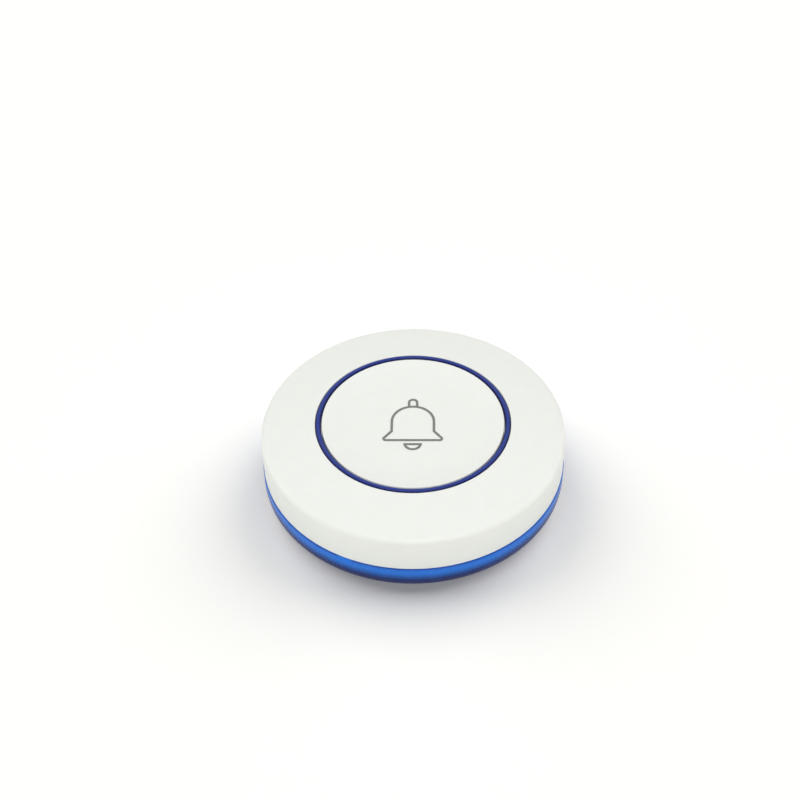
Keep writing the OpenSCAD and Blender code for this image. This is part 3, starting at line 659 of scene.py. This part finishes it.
def cover_profile(cover, ring, edge):
    """Closed outline (r, z, d) of the cover's wall, roof, ring socket, ledge, seal rib and tongue.
    The roof is an arc about the axis that falls from the socket to the edge, and the edge an arc
    that touches roof and wall. The two rows with a d are a catch's faces, which the windows of the
    catches move inwards."""
    inside = cover.radius - cover.wall
    edge_r = cover.radius - cover.edge_round
    socket = ring.outer + cover.socket_fit
    rise = ((edge_r**2 - socket**2) / cover.roof_fall + cover.roof_fall) / 2
    roof_r = math.hypot(rise, socket)
    middle = cover.shoulder - rise
    edge_z = middle + math.sqrt((roof_r - cover.edge_round) ** 2 - edge_r**2)
    edge_end = math.atan2(edge_z - middle, edge_r)
    under_r = roof_r - cover.roof
    rib_outer = cover.rib_radius + cover.rib
    under_start, under_end = math.acos(rib_outer / under_r), math.acos(inside / under_r)
    ring_inner = ring.outer - ring.width
    waist = (cover.lower_edge + edge_z) / 2
    catch_top = cover.catch_low + cover.catch_rise
    upper = rounded(np.concatenate([
        [(cover.radius, waist, 0)],
        sharp(arc((edge_r, edge_z), cover.edge_round, 0, edge_end, steps=12)),
        sharp(arc((0, middle), roof_r, edge_end, math.atan2(rise, socket), steps=28)[1:-1]),
        [
            (socket, cover.shoulder, edge.socket),
            (socket, ring.foot, edge.socket),
            (ring_inner, ring.foot, edge.socket),
            (ring_inner, ring.foot - cover.ledge, edge.socket),
            (cover.rib_radius, ring.foot - cover.ledge, edge.inner),
            (cover.rib_radius, cover.rib_low, edge.inner),
            (rib_outer, cover.rib_low, edge.inner),
        ],
        sharp(arc((0, middle), under_r, under_start, under_end, steps=24)),
        [(inside, (catch_top + edge_z) / 2, 0)],
    ]))
    catch = [
        (inside, catch_top, 0),
        (inside, catch_top, cover.catch_reach),
        (inside, cover.catch_low, cover.catch_reach),
        (inside, cover.catch_low, 0),
    ]
    lower = rounded([
        (inside, (cover.catch_low + cover.lower_edge) / 2, 0),
        (inside, cover.tongue_low, edge.inner),
        (inside + cover.tongue, cover.tongue_low, edge.inner),
        (inside + cover.tongue, cover.lower_edge, edge.inner),
        (cover.radius, cover.lower_edge, edge.seam),
        (cover.radius, waist - MM, 0),
    ])
    return np.concatenate([sharp(upper), catch, sharp(lower)]), middle, roof_r


def boss_profile(cover, top):
    """Outline of a screw boss from the end of its pilot hole, down the hole, up its outside and
    across its top."""
    pilot_end = cover.boss_low + cover.pilot_depth
    return rounded([
        (0, pilot_end, 0),
        (cover.pilot_radius, pilot_end, 0),
        (cover.pilot_radius, cover.boss_low, cover.boss_edge),
        (cover.boss_radius, cover.boss_low, cover.boss_edge),
        (cover.boss_radius, top, 0),
        (0, top, 0),
    ])


def ring_profile(ring, edge):
    """Closed outline of the bead: a flat foot, two short sides and a half round on top."""
    half = ring.width / 2
    centre = (ring.outer - half, ring.crest - half)
    foot = rounded([
        (ring.outer - ring.width, (ring.foot + centre[1]) / 2, 0),
        (ring.outer - ring.width, ring.foot, edge.socket),
        (ring.outer, ring.foot, edge.socket),
        (ring.outer, (ring.foot + centre[1]) / 2, 0),
    ])
    return np.concatenate([foot, arc(centre, half, 0, math.pi, steps=28)])


def cap_profile(cap, edge):
    """Outline of the press cap from the middle of its dish to the end of its post. The dish has a
    flat floor and an arc that leaves the floor level and rises to the rim, and the rim's edge is an
    arc too."""
    run = cap.radius - cap.rim_round - cap.dish_floor
    depth = cap.rim - cap.dish_level
    dish_r = (run**2 + depth**2) / (2 * depth)
    skirt = cap.radius - cap.skirt
    flat = [(0, cap.dish_level), (cap.dish_floor / 2, cap.dish_level)]
    down, slope = -math.pi / 2, math.asin(run / dish_r)
    rise = arc((cap.dish_floor, cap.dish_level + dish_r), dish_r, down, down + slope, steps=24)
    shoulder = (cap.radius - cap.rim_round, cap.rim - cap.rim_round)
    rim = arc(shoulder, cap.rim_round, math.pi / 2, 0, steps=10)
    below = rounded([
        (cap.radius, cap.rim - 2 * cap.rim_round, 0),
        (cap.radius, cap.flange_top, edge.socket),
        (cap.flange, cap.flange_top, edge.inner),
        (cap.flange, cap.flange_low, edge.inner),
        (skirt, cap.flange_low, edge.inner),
        (skirt, cap.underside, edge.inner),
        (cap.post_radius, cap.underside, edge.inner),
        (cap.post_radius, cap.post_low, edge.inner),
        (0, cap.post_low, 0),
    ])
    return np.concatenate([flat, rise, rim[1:], below])


def base_rim_profile(base, edge, start, end):
    """Outline (r, z, d) of the base's outer skin from a radius on the underside round the belly to
    the rim, and back through the groove and the inner corner to a radius on the floor. The belly is
    a quarter round that leaves the underside level. The rows of the rim's outer edge have a d that
    grows with their height, so that the notch's window slopes them inwards."""
    belly = (base.radius - base.belly_round, base.underside + base.belly_round)
    corner = (base.groove_inner - base.corner_round, base.floor + base.corner_round)
    notch_low = base.rim - base.notch_rise
    rim = arc((base.radius - edge.seam, base.rim - edge.seam), edge.seam, 0, math.pi / 2, steps=5)
    slope = base.notch_depth * (rim[:, 1:] - notch_low) / base.notch_rise
    inside = rounded([
        (base.groove_outer + 2 * edge.seam, base.rim, 0),
        (base.groove_outer, base.rim, edge.seam),
        (base.groove_outer, base.groove_floor, edge.inner),
        (base.groove_inner, base.groove_floor, edge.inner),
        (base.groove_inner, corner[1], 0),
    ])
    return np.concatenate([
        sharp([(start, base.underside), ((start + belly[0]) / 2, base.underside)]),
        sharp(arc(belly, base.belly_round, -math.pi / 2, 0, steps=24)),
        [(base.radius, notch_low, 0)],
        np.hstack([rim, slope]),
        sharp(inside),
        sharp(arc(corner, base.corner_round, 0, -math.pi / 2, steps=12)[1:]),
        sharp([(end, base.floor)]),
    ])


def level_rows(radius, height):
    """Outline (r, z) of a level surface: every radius at the same height."""
    return np.column_stack([radius, np.full(len(radius), height)])


def window_loop(inner, outer):
    """Edge of a screw hole's window in a polar grid, as points (x, y): along the outer radius from
    minus to plus half its angle a column at a time, in to the inner radius in even steps, back
    along it, and out again."""
    across = np.arange(-HOLE_HALF, HOLE_HALF)
    side = np.full(HOLE_ROWS, HOLE_HALF)
    radius = np.concatenate([
        np.full(len(across), outer),
        np.linspace(outer, inner, HOLE_ROWS, endpoint=False),
        np.full(len(across), inner),
        np.linspace(inner, outer, HOLE_ROWS, endpoint=False),
    ])
    column = np.concatenate([across, side, -across, -side])
    a = column * COLUMN
    return np.column_stack([radius * np.cos(a), radius * np.sin(a)])


def screw_hole(base, edge, under, above):
    """Skin of one screw hole on the X axis: from the window's edge in the underside in to the hole,
    up its wall, out over its raised seat and down to the window's edge in the floor. Each row is a
    circle about the hole's middle, or the window's edge, with every point in the direction of its
    own point of the edge."""
    middle = np.array([base.screw_offset, 0])
    toward = under - middle
    toward /= np.linalg.norm(toward, axis=1, keepdims=True)
    seat = base.floor + base.seat_rise
    bend = rounded([
        (base.screw_hole + 3 * edge.inner, base.underside, 0),
        (base.screw_hole, base.underside, edge.inner),
        (base.screw_hole, seat, edge.inner),
        (base.screw_seat, seat, edge.inner),
        (base.screw_seat, base.floor, edge.inner),
        (base.screw_seat + 2 * edge.inner, base.floor, 0),
    ], steps=3)
    rings = middle + bend[:, :1, None] * toward
    rows = np.concatenate([under[None], rings, above[None]])
    height = np.concatenate([[base.underside], bend[:, 1], [base.floor]])
    return np.concatenate([rows, np.repeat(height[:, None, None], len(under), axis=1)], axis=2)


def base_grids(base, edge):
    """Grids of the base: recess, underside and floor with their two windows, rim, screw holes and
    snap arms."""
    lip = base.recess_radius + edge.socket
    under = np.linspace(lip, 2 * base.screw_offset - lip, HOLE_ROWS + 1)
    reach = base.screw_seat + 4 * edge.inner
    above = np.linspace(base.screw_offset - reach, base.screw_offset + reach, HOLE_ROWS + 1)
    recess = rounded([
        (0, base.underside + base.recess_depth, 0),
        (base.recess_radius, base.underside + base.recess_depth, edge.inner),
        (base.recess_radius, base.underside, edge.socket),
        (lip, base.underside, 0),
    ])
    wall = window(0, math.pi, 2 * HOLE_HALF * COLUMN + TINY)
    keep = (wall * np.roll(wall, -1)) == 0
    notch = window(base.notch_place, 2 * math.pi, base.notch_span)
    grids = [
        Grid(turned(recess)),
        Grid(turned(level_rows(under, base.underside)), keep=keep),
        Grid(turned(base_rim_profile(base, edge, under[-1], above[-1]), notch)),
        Grid(turned(level_rows(above, base.floor)), keep=keep),
        Grid(turned(level_rows([above[0], above[0] / 2, 0], base.floor))),
    ]
    windows = [window_loop(rows[0], rows[-1]) for rows in (under, above)]
    hole = screw_hole(base, edge, *windows)
    grids += [Grid(placed(hole, 0, direction)) for direction in around(2, 0)]
    barb = base.arm_top - base.barb_rise
    root = (base.underside + 2 * base.floor) / 3  # inside the floor, so that the arm stands firm
    height = [root, barb, barb, barb + base.barb_rise / 3, base.arm_top]
    outer = base.arm_outer + np.array([0, 0, base.barb_reach, base.barb_reach, 0])
    arm = pillar(np.full(len(height), base.arm_inner), outer, base.arm_width, height)
    places = around(base.arm_count, base.arm_place)
    return grids + [Grid(placed(arm, 0, direction)) for direction in places]


def seal_profile(soft, edge):
    """Outline of the seal from the middle of its crown over its cone and clamped rim, and back
    underneath to the nub that meets the plunger."""
    web, top, low = soft.seal_web, SEAL_HIGH.z, SEAL_LOW.z
    return rounded([
        (0, top, 0),
        (soft.seal_crown, top, 3 * web),
        (soft.seal_foot, soft.seal_rim, 3 * web),
        (SEAL_HIGH.x, soft.seal_rim, edge.rubber),
        (SEAL_HIGH.x, low, edge.rubber),
        (soft.seal_inner, low, edge.rubber),
        (soft.seal_inner, soft.seal_rim - web, edge.rubber),
        (soft.seal_foot - web / 2, soft.seal_rim - web, 2 * web),
        (soft.seal_crown - web / 2, top - web, 2 * web),
        (soft.seal_nub, top - web, edge.rubber),
        (soft.seal_nub, PLUNGER_HIGH.z, edge.rubber),
        (0, PLUNGER_HIGH.z, 0),
    ], steps=8)


def gasket_profile(soft, edge):
    """Closed outline of the gasket: a rounded rectangle between groove floor and tongue."""
    inner, outer = soft.gasket_inner, GASKET_HIGH.x
    low, high = GASKET_LOW.z, GASKET_HIGH.z
    middle = (low + high) / 2
    outline = rounded([
        (outer, middle, 0),
        (outer, high, edge.rubber),
        (inner, high, edge.rubber),
        (inner, low, edge.rubber),
        (outer, low, edge.rubber),
        (outer, middle, 0),
    ])
    return outline[:-1]


def pad_profile(soft):
    """Outline of the foam pad: two flat adhesive faces, and between them a cut edge that bulges as
    half an ellipse."""
    half = soft.pad_top / 2
    a = np.linspace(-math.pi / 2, math.pi / 2, CURVE_POINTS)
    flat = soft.pad_radius - soft.pad_edge
    bulge = np.column_stack([flat + soft.pad_edge * np.cos(a), half + half * np.sin(a)])
    lower, upper = [(0, 0), (flat / 2, 0)], [(flat / 2, soft.pad_top), (0, soft.pad_top)]
    return np.concatenate([lower, bulge, upper])


def dome_profile(soft):
    """Outline of the snap dome's sheet: height over radius is a half wave of a cosine from the
    crown to the foot, and the lower skin follows it one sheet thickness below."""
    foot, sheet = DOME_HIGH.x, soft.dome_sheet
    r = np.linspace(0, foot, CURVE_POINTS)
    wave = (DOME_HIGH.z - DOME_LOW.z - sheet) * (1 + np.cos(math.pi * r / foot)) / 2
    upper = np.column_stack([r, DOME_LOW.z + sheet + wave])
    lower = np.column_stack([r, DOME_LOW.z + wave])
    return np.concatenate([upper, lower[::-1]])


class DOORBELL_OT_make_cover(bpy.types.Operator):
    """Makes the white cover with its roof, ring socket, seal rib, tongue, catches and bosses"""

    bl_idname = "doorbell.make_cover"
    bl_label = "Make cover"

    def execute(self, context):
        s = context.scene.doorbell
        cover = s.cover
        profile, middle, roof_r = cover_profile(cover, s.ring, s.edge)
        catches = window(s.base.arm_place, 2 * math.pi / s.base.arm_count, cover.catch_span)
        top = middle + math.sqrt(roof_r**2 - cover.boss_circle**2) - cover.roof / 2
        boss = turned(boss_profile(cover, top), columns=SMALL_COLUMNS)
        places = around(cover.boss_count, math.pi / 2)
        bosses = [Grid(placed(boss, cover.boss_circle, direction)) for direction in places]
        grids = [Grid(turned(profile, catches), loop=True)] + bosses
        plastic = moulded_plastic("white_satin_shell", s.finish.white, **SATIN)
        make_piece("cover", grids, plastic, "housing", "top_cover")
        return {"FINISHED"}


class DOORBELL_OT_make_trim_ring(bpy.types.Operator):
    """Makes the navy bead round the press cap"""

    bl_idname = "doorbell.make_trim_ring"
    bl_label = "Make trim ring"

    def execute(self, context):
        s = context.scene.doorbell
        ring, tones = s.ring, s.finish
        # Colour by height: a painted highlight along the crest over the navy bead.
        bead = [
            (ring.crest - ring.painted_highlight_fade_depth, tones.navy),
            (ring.crest - ring.painted_highlight_depth, tones.painted_highlight_blue),
            (ring.crest, tones.painted_highlight_blue),
        ]
        plastic = plastic_with_painted_light("navy_gloss_painted_highlight", bead, roughness=0.2, shine=0.1)
        grids = [Grid(turned(ring_profile(ring, s.edge)), loop=True)]
        make_piece("ring", grids, plastic, "housing", "trim_ring")
        return {"FINISHED"}


class DOORBELL_OT_make_press_cap(bpy.types.Operator):
    """Makes the dished press cap with its flange, skirt, post and ribs"""

    bl_idname = "doorbell.make_press_cap"
    bl_label = "Make press cap"

    def execute(self, context):
        s = context.scene.doorbell
        cap = s.cap
        outer = cap.radius - cap.skirt / 2
        height = [cap.underside - cap.rib_depth, cap.underside + cap.rib_root]
        rib = pillar(np.full(2, cap.rib_inner), np.full(2, outer), cap.rib, height)
        ribs = [Grid(placed(rib, 0, direction)) for direction in around(cap.rib_count, 0)]
        grids = [Grid(turned(cap_profile(cap, s.edge)))] + ribs
        plastic = moulded_plastic("white_satin_cap", s.finish.white, **SATIN)
        make_piece("press_cap", grids, plastic, "button", "button_cap")
        return {"FINISHED"}


class DOORBELL_OT_dress_bell(bpy.types.Operator):
    """Prints the bell symbol on the press cap"""

    bl_idname = "doorbell.dress_bell"
    bl_label = "Dress bell symbol"

    def execute(self, context):
        dress("bell_mark", printed_ink(context.scene.doorbell.finish.ink))
        return {"FINISHED"}


class DOORBELL_OT_make_base(bpy.types.Operator):
    """Makes the blue base with its groove, pad recess, screw holes, pry notch and snap arms"""

    bl_idname = "doorbell.make_base"
    bl_label = "Make base"

    def execute(self, context):
        s = context.scene.doorbell
        base, tones = s.base, s.finish
        # Colour by height: painted shade towards the bottom and at the seam, and the plain blue
        # between.
        band = [
            (base.full_painted_shade_below, tones.painted_shade_blue),
            (base.painted_shade_ends_above, tones.blue),
            (base.seam_shade_above, tones.blue),
            (base.rim, tones.seam_shade_blue),
        ]
        plastic = plastic_with_painted_light("blue_gloss_painted_shade", band, roughness=0.28, shine=0.15)
        make_piece("base", base_grids(base, s.edge), plastic, "housing", "base_shell")
        return {"FINISHED"}


class DOORBELL_OT_make_pad(bpy.types.Operator):
    """Makes the foam pad under the base"""

    bl_idname = "doorbell.make_pad"
    bl_label = "Make foam pad"

    def execute(self, context):
        s = context.scene.doorbell
        grids = [Grid(turned(pad_profile(s.soft)))]
        foam = cell_foam(s.finish.foam)
        pad = make_piece("foam_pad", grids, foam, "housing", "adhesive_pad")
        return {"FINISHED"}


class DOORBELL_OT_make_seal(bpy.types.Operator):
    """Makes the silicone seal under the press cap, in its rest shape; the real seal gives way as the
    cap goes down
    """

    bl_idname = "doorbell.make_seal"
    bl_label = "Make seal"

    def execute(self, context):
        s = context.scene.doorbell
        grids = [Grid(turned(seal_profile(s.soft, s.edge)))]
        silicone = soft_rubber("milky_silicone", s.finish.silicone, clear=0.5)
        seal = make_piece("seal", grids, silicone, "housing", "button_seal")
        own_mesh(seal)
        return {"FINISHED"}


class DOORBELL_OT_make_gasket(bpy.types.Operator):
    """Makes the rubber gasket in the seam"""

    bl_idname = "doorbell.make_gasket"
    bl_label = "Make gasket"

    def execute(self, context):
        s = context.scene.doorbell
        grids = [Grid(turned(gasket_profile(s.soft, s.edge)), loop=True)]
        rubber = soft_rubber("dark_soft_rubber", s.finish.rubber, clear=0.0)
        make_piece("gasket", grids, rubber, "housing", "case_gasket")
        return {"FINISHED"}


class DOORBELL_OT_dress_switch(bpy.types.Operator):
    """Makes the switch's snap dome and dresses its other parts"""

    bl_idname = "doorbell.dress_switch"
    bl_label = "Dress switch"

    def execute(self, context):
        s = context.scene.doorbell
        steel = drawn_metal("stamped_steel", s.finish.steel, roughness=0.32, stretch=(1, 0.05, 1))
        tin = drawn_metal("tinned_terminals", s.finish.tin, roughness=0.38, stretch=(0.2, 1, 1))
        black = moulded_plastic(
            "black_switch", s.finish.black, roughness=0.5, share=0.08, grain=7000, depth=3e-6
        )
        grids = [Grid(turned(dome_profile(s.soft), columns=SHEET_COLUMNS))]
        dome = make_piece("snap_dome", grids, steel, "housing", "switch_dome")
        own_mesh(dome)
        dress("switch_cover", steel)
        dress("switch_base", black)
        dress("switch_plunger", black)
        dress("switch_terminals", tin)
        return {"FINISHED"}


class DOORBELL_OT_dress_board(bpy.types.Operator):
    """Dresses the circuit board, its screws and its antenna loop"""

    bl_idname = "doorbell.dress_board"
    bl_label = "Dress board"

    def execute(self, context):
        finish = context.scene.doorbell.finish
        zinc = drawn_metal("zinc_plate", finish.zinc, roughness=0.35, stretch=(1, 1, 0.2))
        copper = drawn_metal("bare_copper", finish.copper, roughness=0.4, stretch=(1, 1, 1))
        dress("circuit_board", glass_laminate(finish.laminate))
        dress("board_screws", zinc)
        dress("antenna_loop", copper)
        return {"FINISHED"}


class DOORBELL_OT_dress_battery(bpy.types.Operator):
    """Dresses the coin cell, its clip and its contact"""

    bl_idname = "doorbell.dress_battery"
    bl_label = "Dress battery"

    def execute(self, context):
        finish = context.scene.doorbell.finish
        brass = drawn_metal("plated_sheet", finish.brass, roughness=0.3, stretch=(1, 0.05, 1))
        nickel = drawn_metal("nickel_plate", finish.nickel, roughness=0.3, stretch=(0.05, 1, 1))
        dress("coin_cell", nickel)
        dress("battery_clip", brass)
        dress("negative_contact", brass)
        return {"FINISHED"}


class DOORBELL_OT_dress_small_parts(bpy.types.Operator):
    """Dresses the chip, the crystal, the transistor, the resistors and the capacitors"""

    bl_idname = "doorbell.dress_small_parts"
    bl_label = "Dress small parts"

    def execute(self, context):
        finish = context.scene.doorbell.finish
        tin = drawn_metal("tinned_leads", finish.tin, roughness=0.38, stretch=(0.2, 1, 1))
        can = drawn_metal("crystal_steel", finish.nickel, roughness=0.25, stretch=(1, 1, 0.1))
        black = moulded_plastic(
            "black_package", finish.black, roughness=0.55, share=0.08, grain=9000, depth=4e-6
        )
        glaze = moulded_plastic(
            "resistor_glaze", finish.resistor, roughness=0.35, share=0.1, grain=9000, depth=2e-6
        )
        ceramic = moulded_plastic(
            "capacitor_ceramic", finish.ceramic, roughness=0.5, share=0.1, grain=9000, depth=3e-6
        )
        dress("encoder_chip", black)
        dress("rf_transistor", black)
        dress("chip_leads", tin)
        dress("transistor_leads", tin)
        dress("crystal_can", can)
        dress("chip_resistors", glaze)
        dress("chip_capacitors", ceramic)
        return {"FINISHED"}


def lay_floor(stage, colour):
    """A flat round floor at height 0: rings of points that grow evenly from the middle."""
    rows = level_rows(np.linspace(0, stage.floor_radius, FLOOR_ROWS), 0)
    mesh = welded_mesh("floor", [Grid(turned(rows, columns=SHEET_COLUMNS))], closed=False)
    mesh.materials.append(paper_floor(colour, stage.floor_lift))
    floor = bpy.data.objects.new("floor", mesh)
    bpy.context.scene.collection.objects.link(floor)
    return floor


def light_world(sky):
    """An even white sky: it lights surfaces at the sky's strength, and is plain white where it is
    seen."""
    world = bpy.data.worlds.new("studio")
    bpy.context.scene.world = world
    world.use_nodes = True
    tree = world.node_tree
    tree.nodes.clear()
    path = tree.nodes.new("ShaderNodeLightPath")
    seen = path.outputs["Is Camera Ray"]
    for kind in ("Is Glossy Ray", "Is Transmission Ray"):
        either = tree.nodes.new("ShaderNodeMath")
        either.operation = "MAXIMUM"
        tree.links.new(seen, either.inputs[0])
        tree.links.new(path.outputs[kind], either.inputs[1])
        seen = either.outputs["Value"]
    lit, shown = (tree.nodes.new("ShaderNodeBackground") for _ in range(2))
    for light, strength in ((lit, sky), (shown, 1)):
        light.inputs["Color"].default_value = WHITE_LIGHT
        light.inputs["Strength"].default_value = strength
    mix = tree.nodes.new("ShaderNodeMixShader")
    output = tree.nodes.new("ShaderNodeOutputWorld")
    tree.links.new(seen, mix.inputs["Fac"])
    tree.links.new(lit.outputs["Background"], mix.inputs[1])
    tree.links.new(shown.outputs["Background"], mix.inputs[2])
    tree.links.new(mix.outputs["Shader"], output.inputs["Surface"])


def mirrored(direction):
    """The same direction on the other side of the button."""
    return (-direction[0], direction[1], direction[2])


def lit_group(name, floor, state):
    """What a lamp lights: the floor alone, or all but the floor."""
    receivers = bpy.data.collections.new(name)
    receivers.objects.link(floor)
    receivers.collection_objects[0].light_linking.link_state = state
    return receivers


def hang_lamp(name, strength, spread, toward, shadow, lit):
    """A far soft lamp in a direction from the button, with or without a shadow, that lights one
    group."""
    lamp = bpy.data.lights.new(name, "SUN")
    lamp.use_shadow = shadow
    lamp.energy = strength
    lamp.angle = spread
    holder = bpy.data.objects.new(name, lamp)
    holder.rotation_euler = Vector(toward).to_track_quat("Z", "Y").to_euler()
    holder.light_linking.receiver_collection = lit
    bpy.context.scene.collection.objects.link(holder)
    return lamp


def set_camera(stage):
    """A camera at its place, turned to its aim and leaned by its roll."""
    camera = bpy.data.cameras.new("camera")
    camera.sensor_width = PICTURE_WIDTH
    camera.lens = stage.camera_lens
    camera.clip_start = 10 * MM
    holder = bpy.data.objects.new("camera", camera)
    place, aim = Vector(stage.camera_place), Vector(stage.camera_aim)
    level_turn = (aim - place).to_track_quat("-Z", "Y")
    holder.location = place
    holder.rotation_mode = "QUATERNION"
    holder.rotation_quaternion = level_turn @ Quaternion((0, 0, 1), stage.camera_roll)
    bpy.context.scene.collection.objects.link(holder)
    bpy.context.scene.camera = holder


class DOORBELL_OT_set_stage(bpy.types.Operator):
    """Lays the floor and sets the light and the camera"""

    bl_idname = "doorbell.set_stage"
    bl_label = "Set stage"

    def execute(self, context):
        s = context.scene.doorbell
        stage = s.stage
        floor = lay_floor(stage, s.finish.floor)
        light_world(stage.sky)
        button = lit_group("lit_button", floor, "EXCLUDE")
        ground = lit_group("lit_floor", floor, "INCLUDE")
        lamps = [
            ("back_lamp", stage.back, stage.back_from, True, button),
            ("right_lamp", stage.side, stage.side_from, True, button),
            ("left_lamp", stage.side, mirrored(stage.side_from), True, button),
            ("fill_lamp", stage.fill, stage.fill_from, False, button),
            ("right_floor_lamp", stage.floor_lamp, stage.floor_from, True, ground),
            ("left_floor_lamp", stage.floor_lamp, mirrored(stage.floor_from), True, ground),
        ]
        for name, strength, toward, shadow, lit in lamps:
            lamp = hang_lamp(name, strength, stage.spread, toward, shadow, lit)
            if lit == ground:
                lamp.color = stage.floor_tone
        set_camera(stage)
        context.scene.view_settings.view_transform = "Standard"
        return {"FINISHED"}


class DOORBELL_PT_panel(bpy.types.Panel):
    """Lists the steps that build the doorbell button"""

    bl_idname = "DOORBELL_PT_panel"
    bl_label = "Doorbell button"
    bl_space_type = "VIEW_3D"
    bl_region_type = "UI"
    bl_category = "Doorbell"

    def draw(self, context):
        for operator in OPERATORS:
            self.layout.operator(operator.bl_idname)


OPERATORS = (
    DOORBELL_OT_make_cover,
    DOORBELL_OT_make_trim_ring,
    DOORBELL_OT_make_press_cap,
    DOORBELL_OT_dress_bell,
    DOORBELL_OT_make_base,
    DOORBELL_OT_make_pad,
    DOORBELL_OT_make_seal,
    DOORBELL_OT_make_gasket,
    DOORBELL_OT_dress_switch,
    DOORBELL_OT_dress_board,
    DOORBELL_OT_dress_battery,
    DOORBELL_OT_dress_small_parts,
    DOORBELL_OT_set_stage,
)
CLASSES = (
    CoverSizes, RingSizes, CapSizes, BaseSizes, SoftSizes, EdgeSizes, FinishColours, StageSettings,
    DoorbellSettings, *OPERATORS, DOORBELL_PT_panel,
)


def register():
    """Registers all classes and hangs the settings on the scene."""
    for item in CLASSES:
        bpy.utils.register_class(item)
    bpy.types.Scene.doorbell = group(
        DoorbellSettings, "Doorbell button", "Sizes, colours and stage of the doorbell button"
    )


def unregister():
    """Takes the settings off the scene and all classes out."""
    del bpy.types.Scene.doorbell
    for item in reversed(CLASSES):
        bpy.utils.unregister_class(item)


def main():
    """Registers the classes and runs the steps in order."""
    register()
    bpy.ops.doorbell.make_cover()
    bpy.ops.doorbell.make_trim_ring()
    bpy.ops.doorbell.make_press_cap()
    bpy.ops.doorbell.dress_bell()
    bpy.ops.doorbell.make_base()
    bpy.ops.doorbell.make_pad()
    bpy.ops.doorbell.make_seal()
    bpy.ops.doorbell.make_gasket()
    bpy.ops.doorbell.dress_switch()
    bpy.ops.doorbell.dress_board()
    bpy.ops.doorbell.dress_battery()
    bpy.ops.doorbell.dress_small_parts()
    bpy.ops.doorbell.set_stage()


if __name__ == "__main__":
    main()
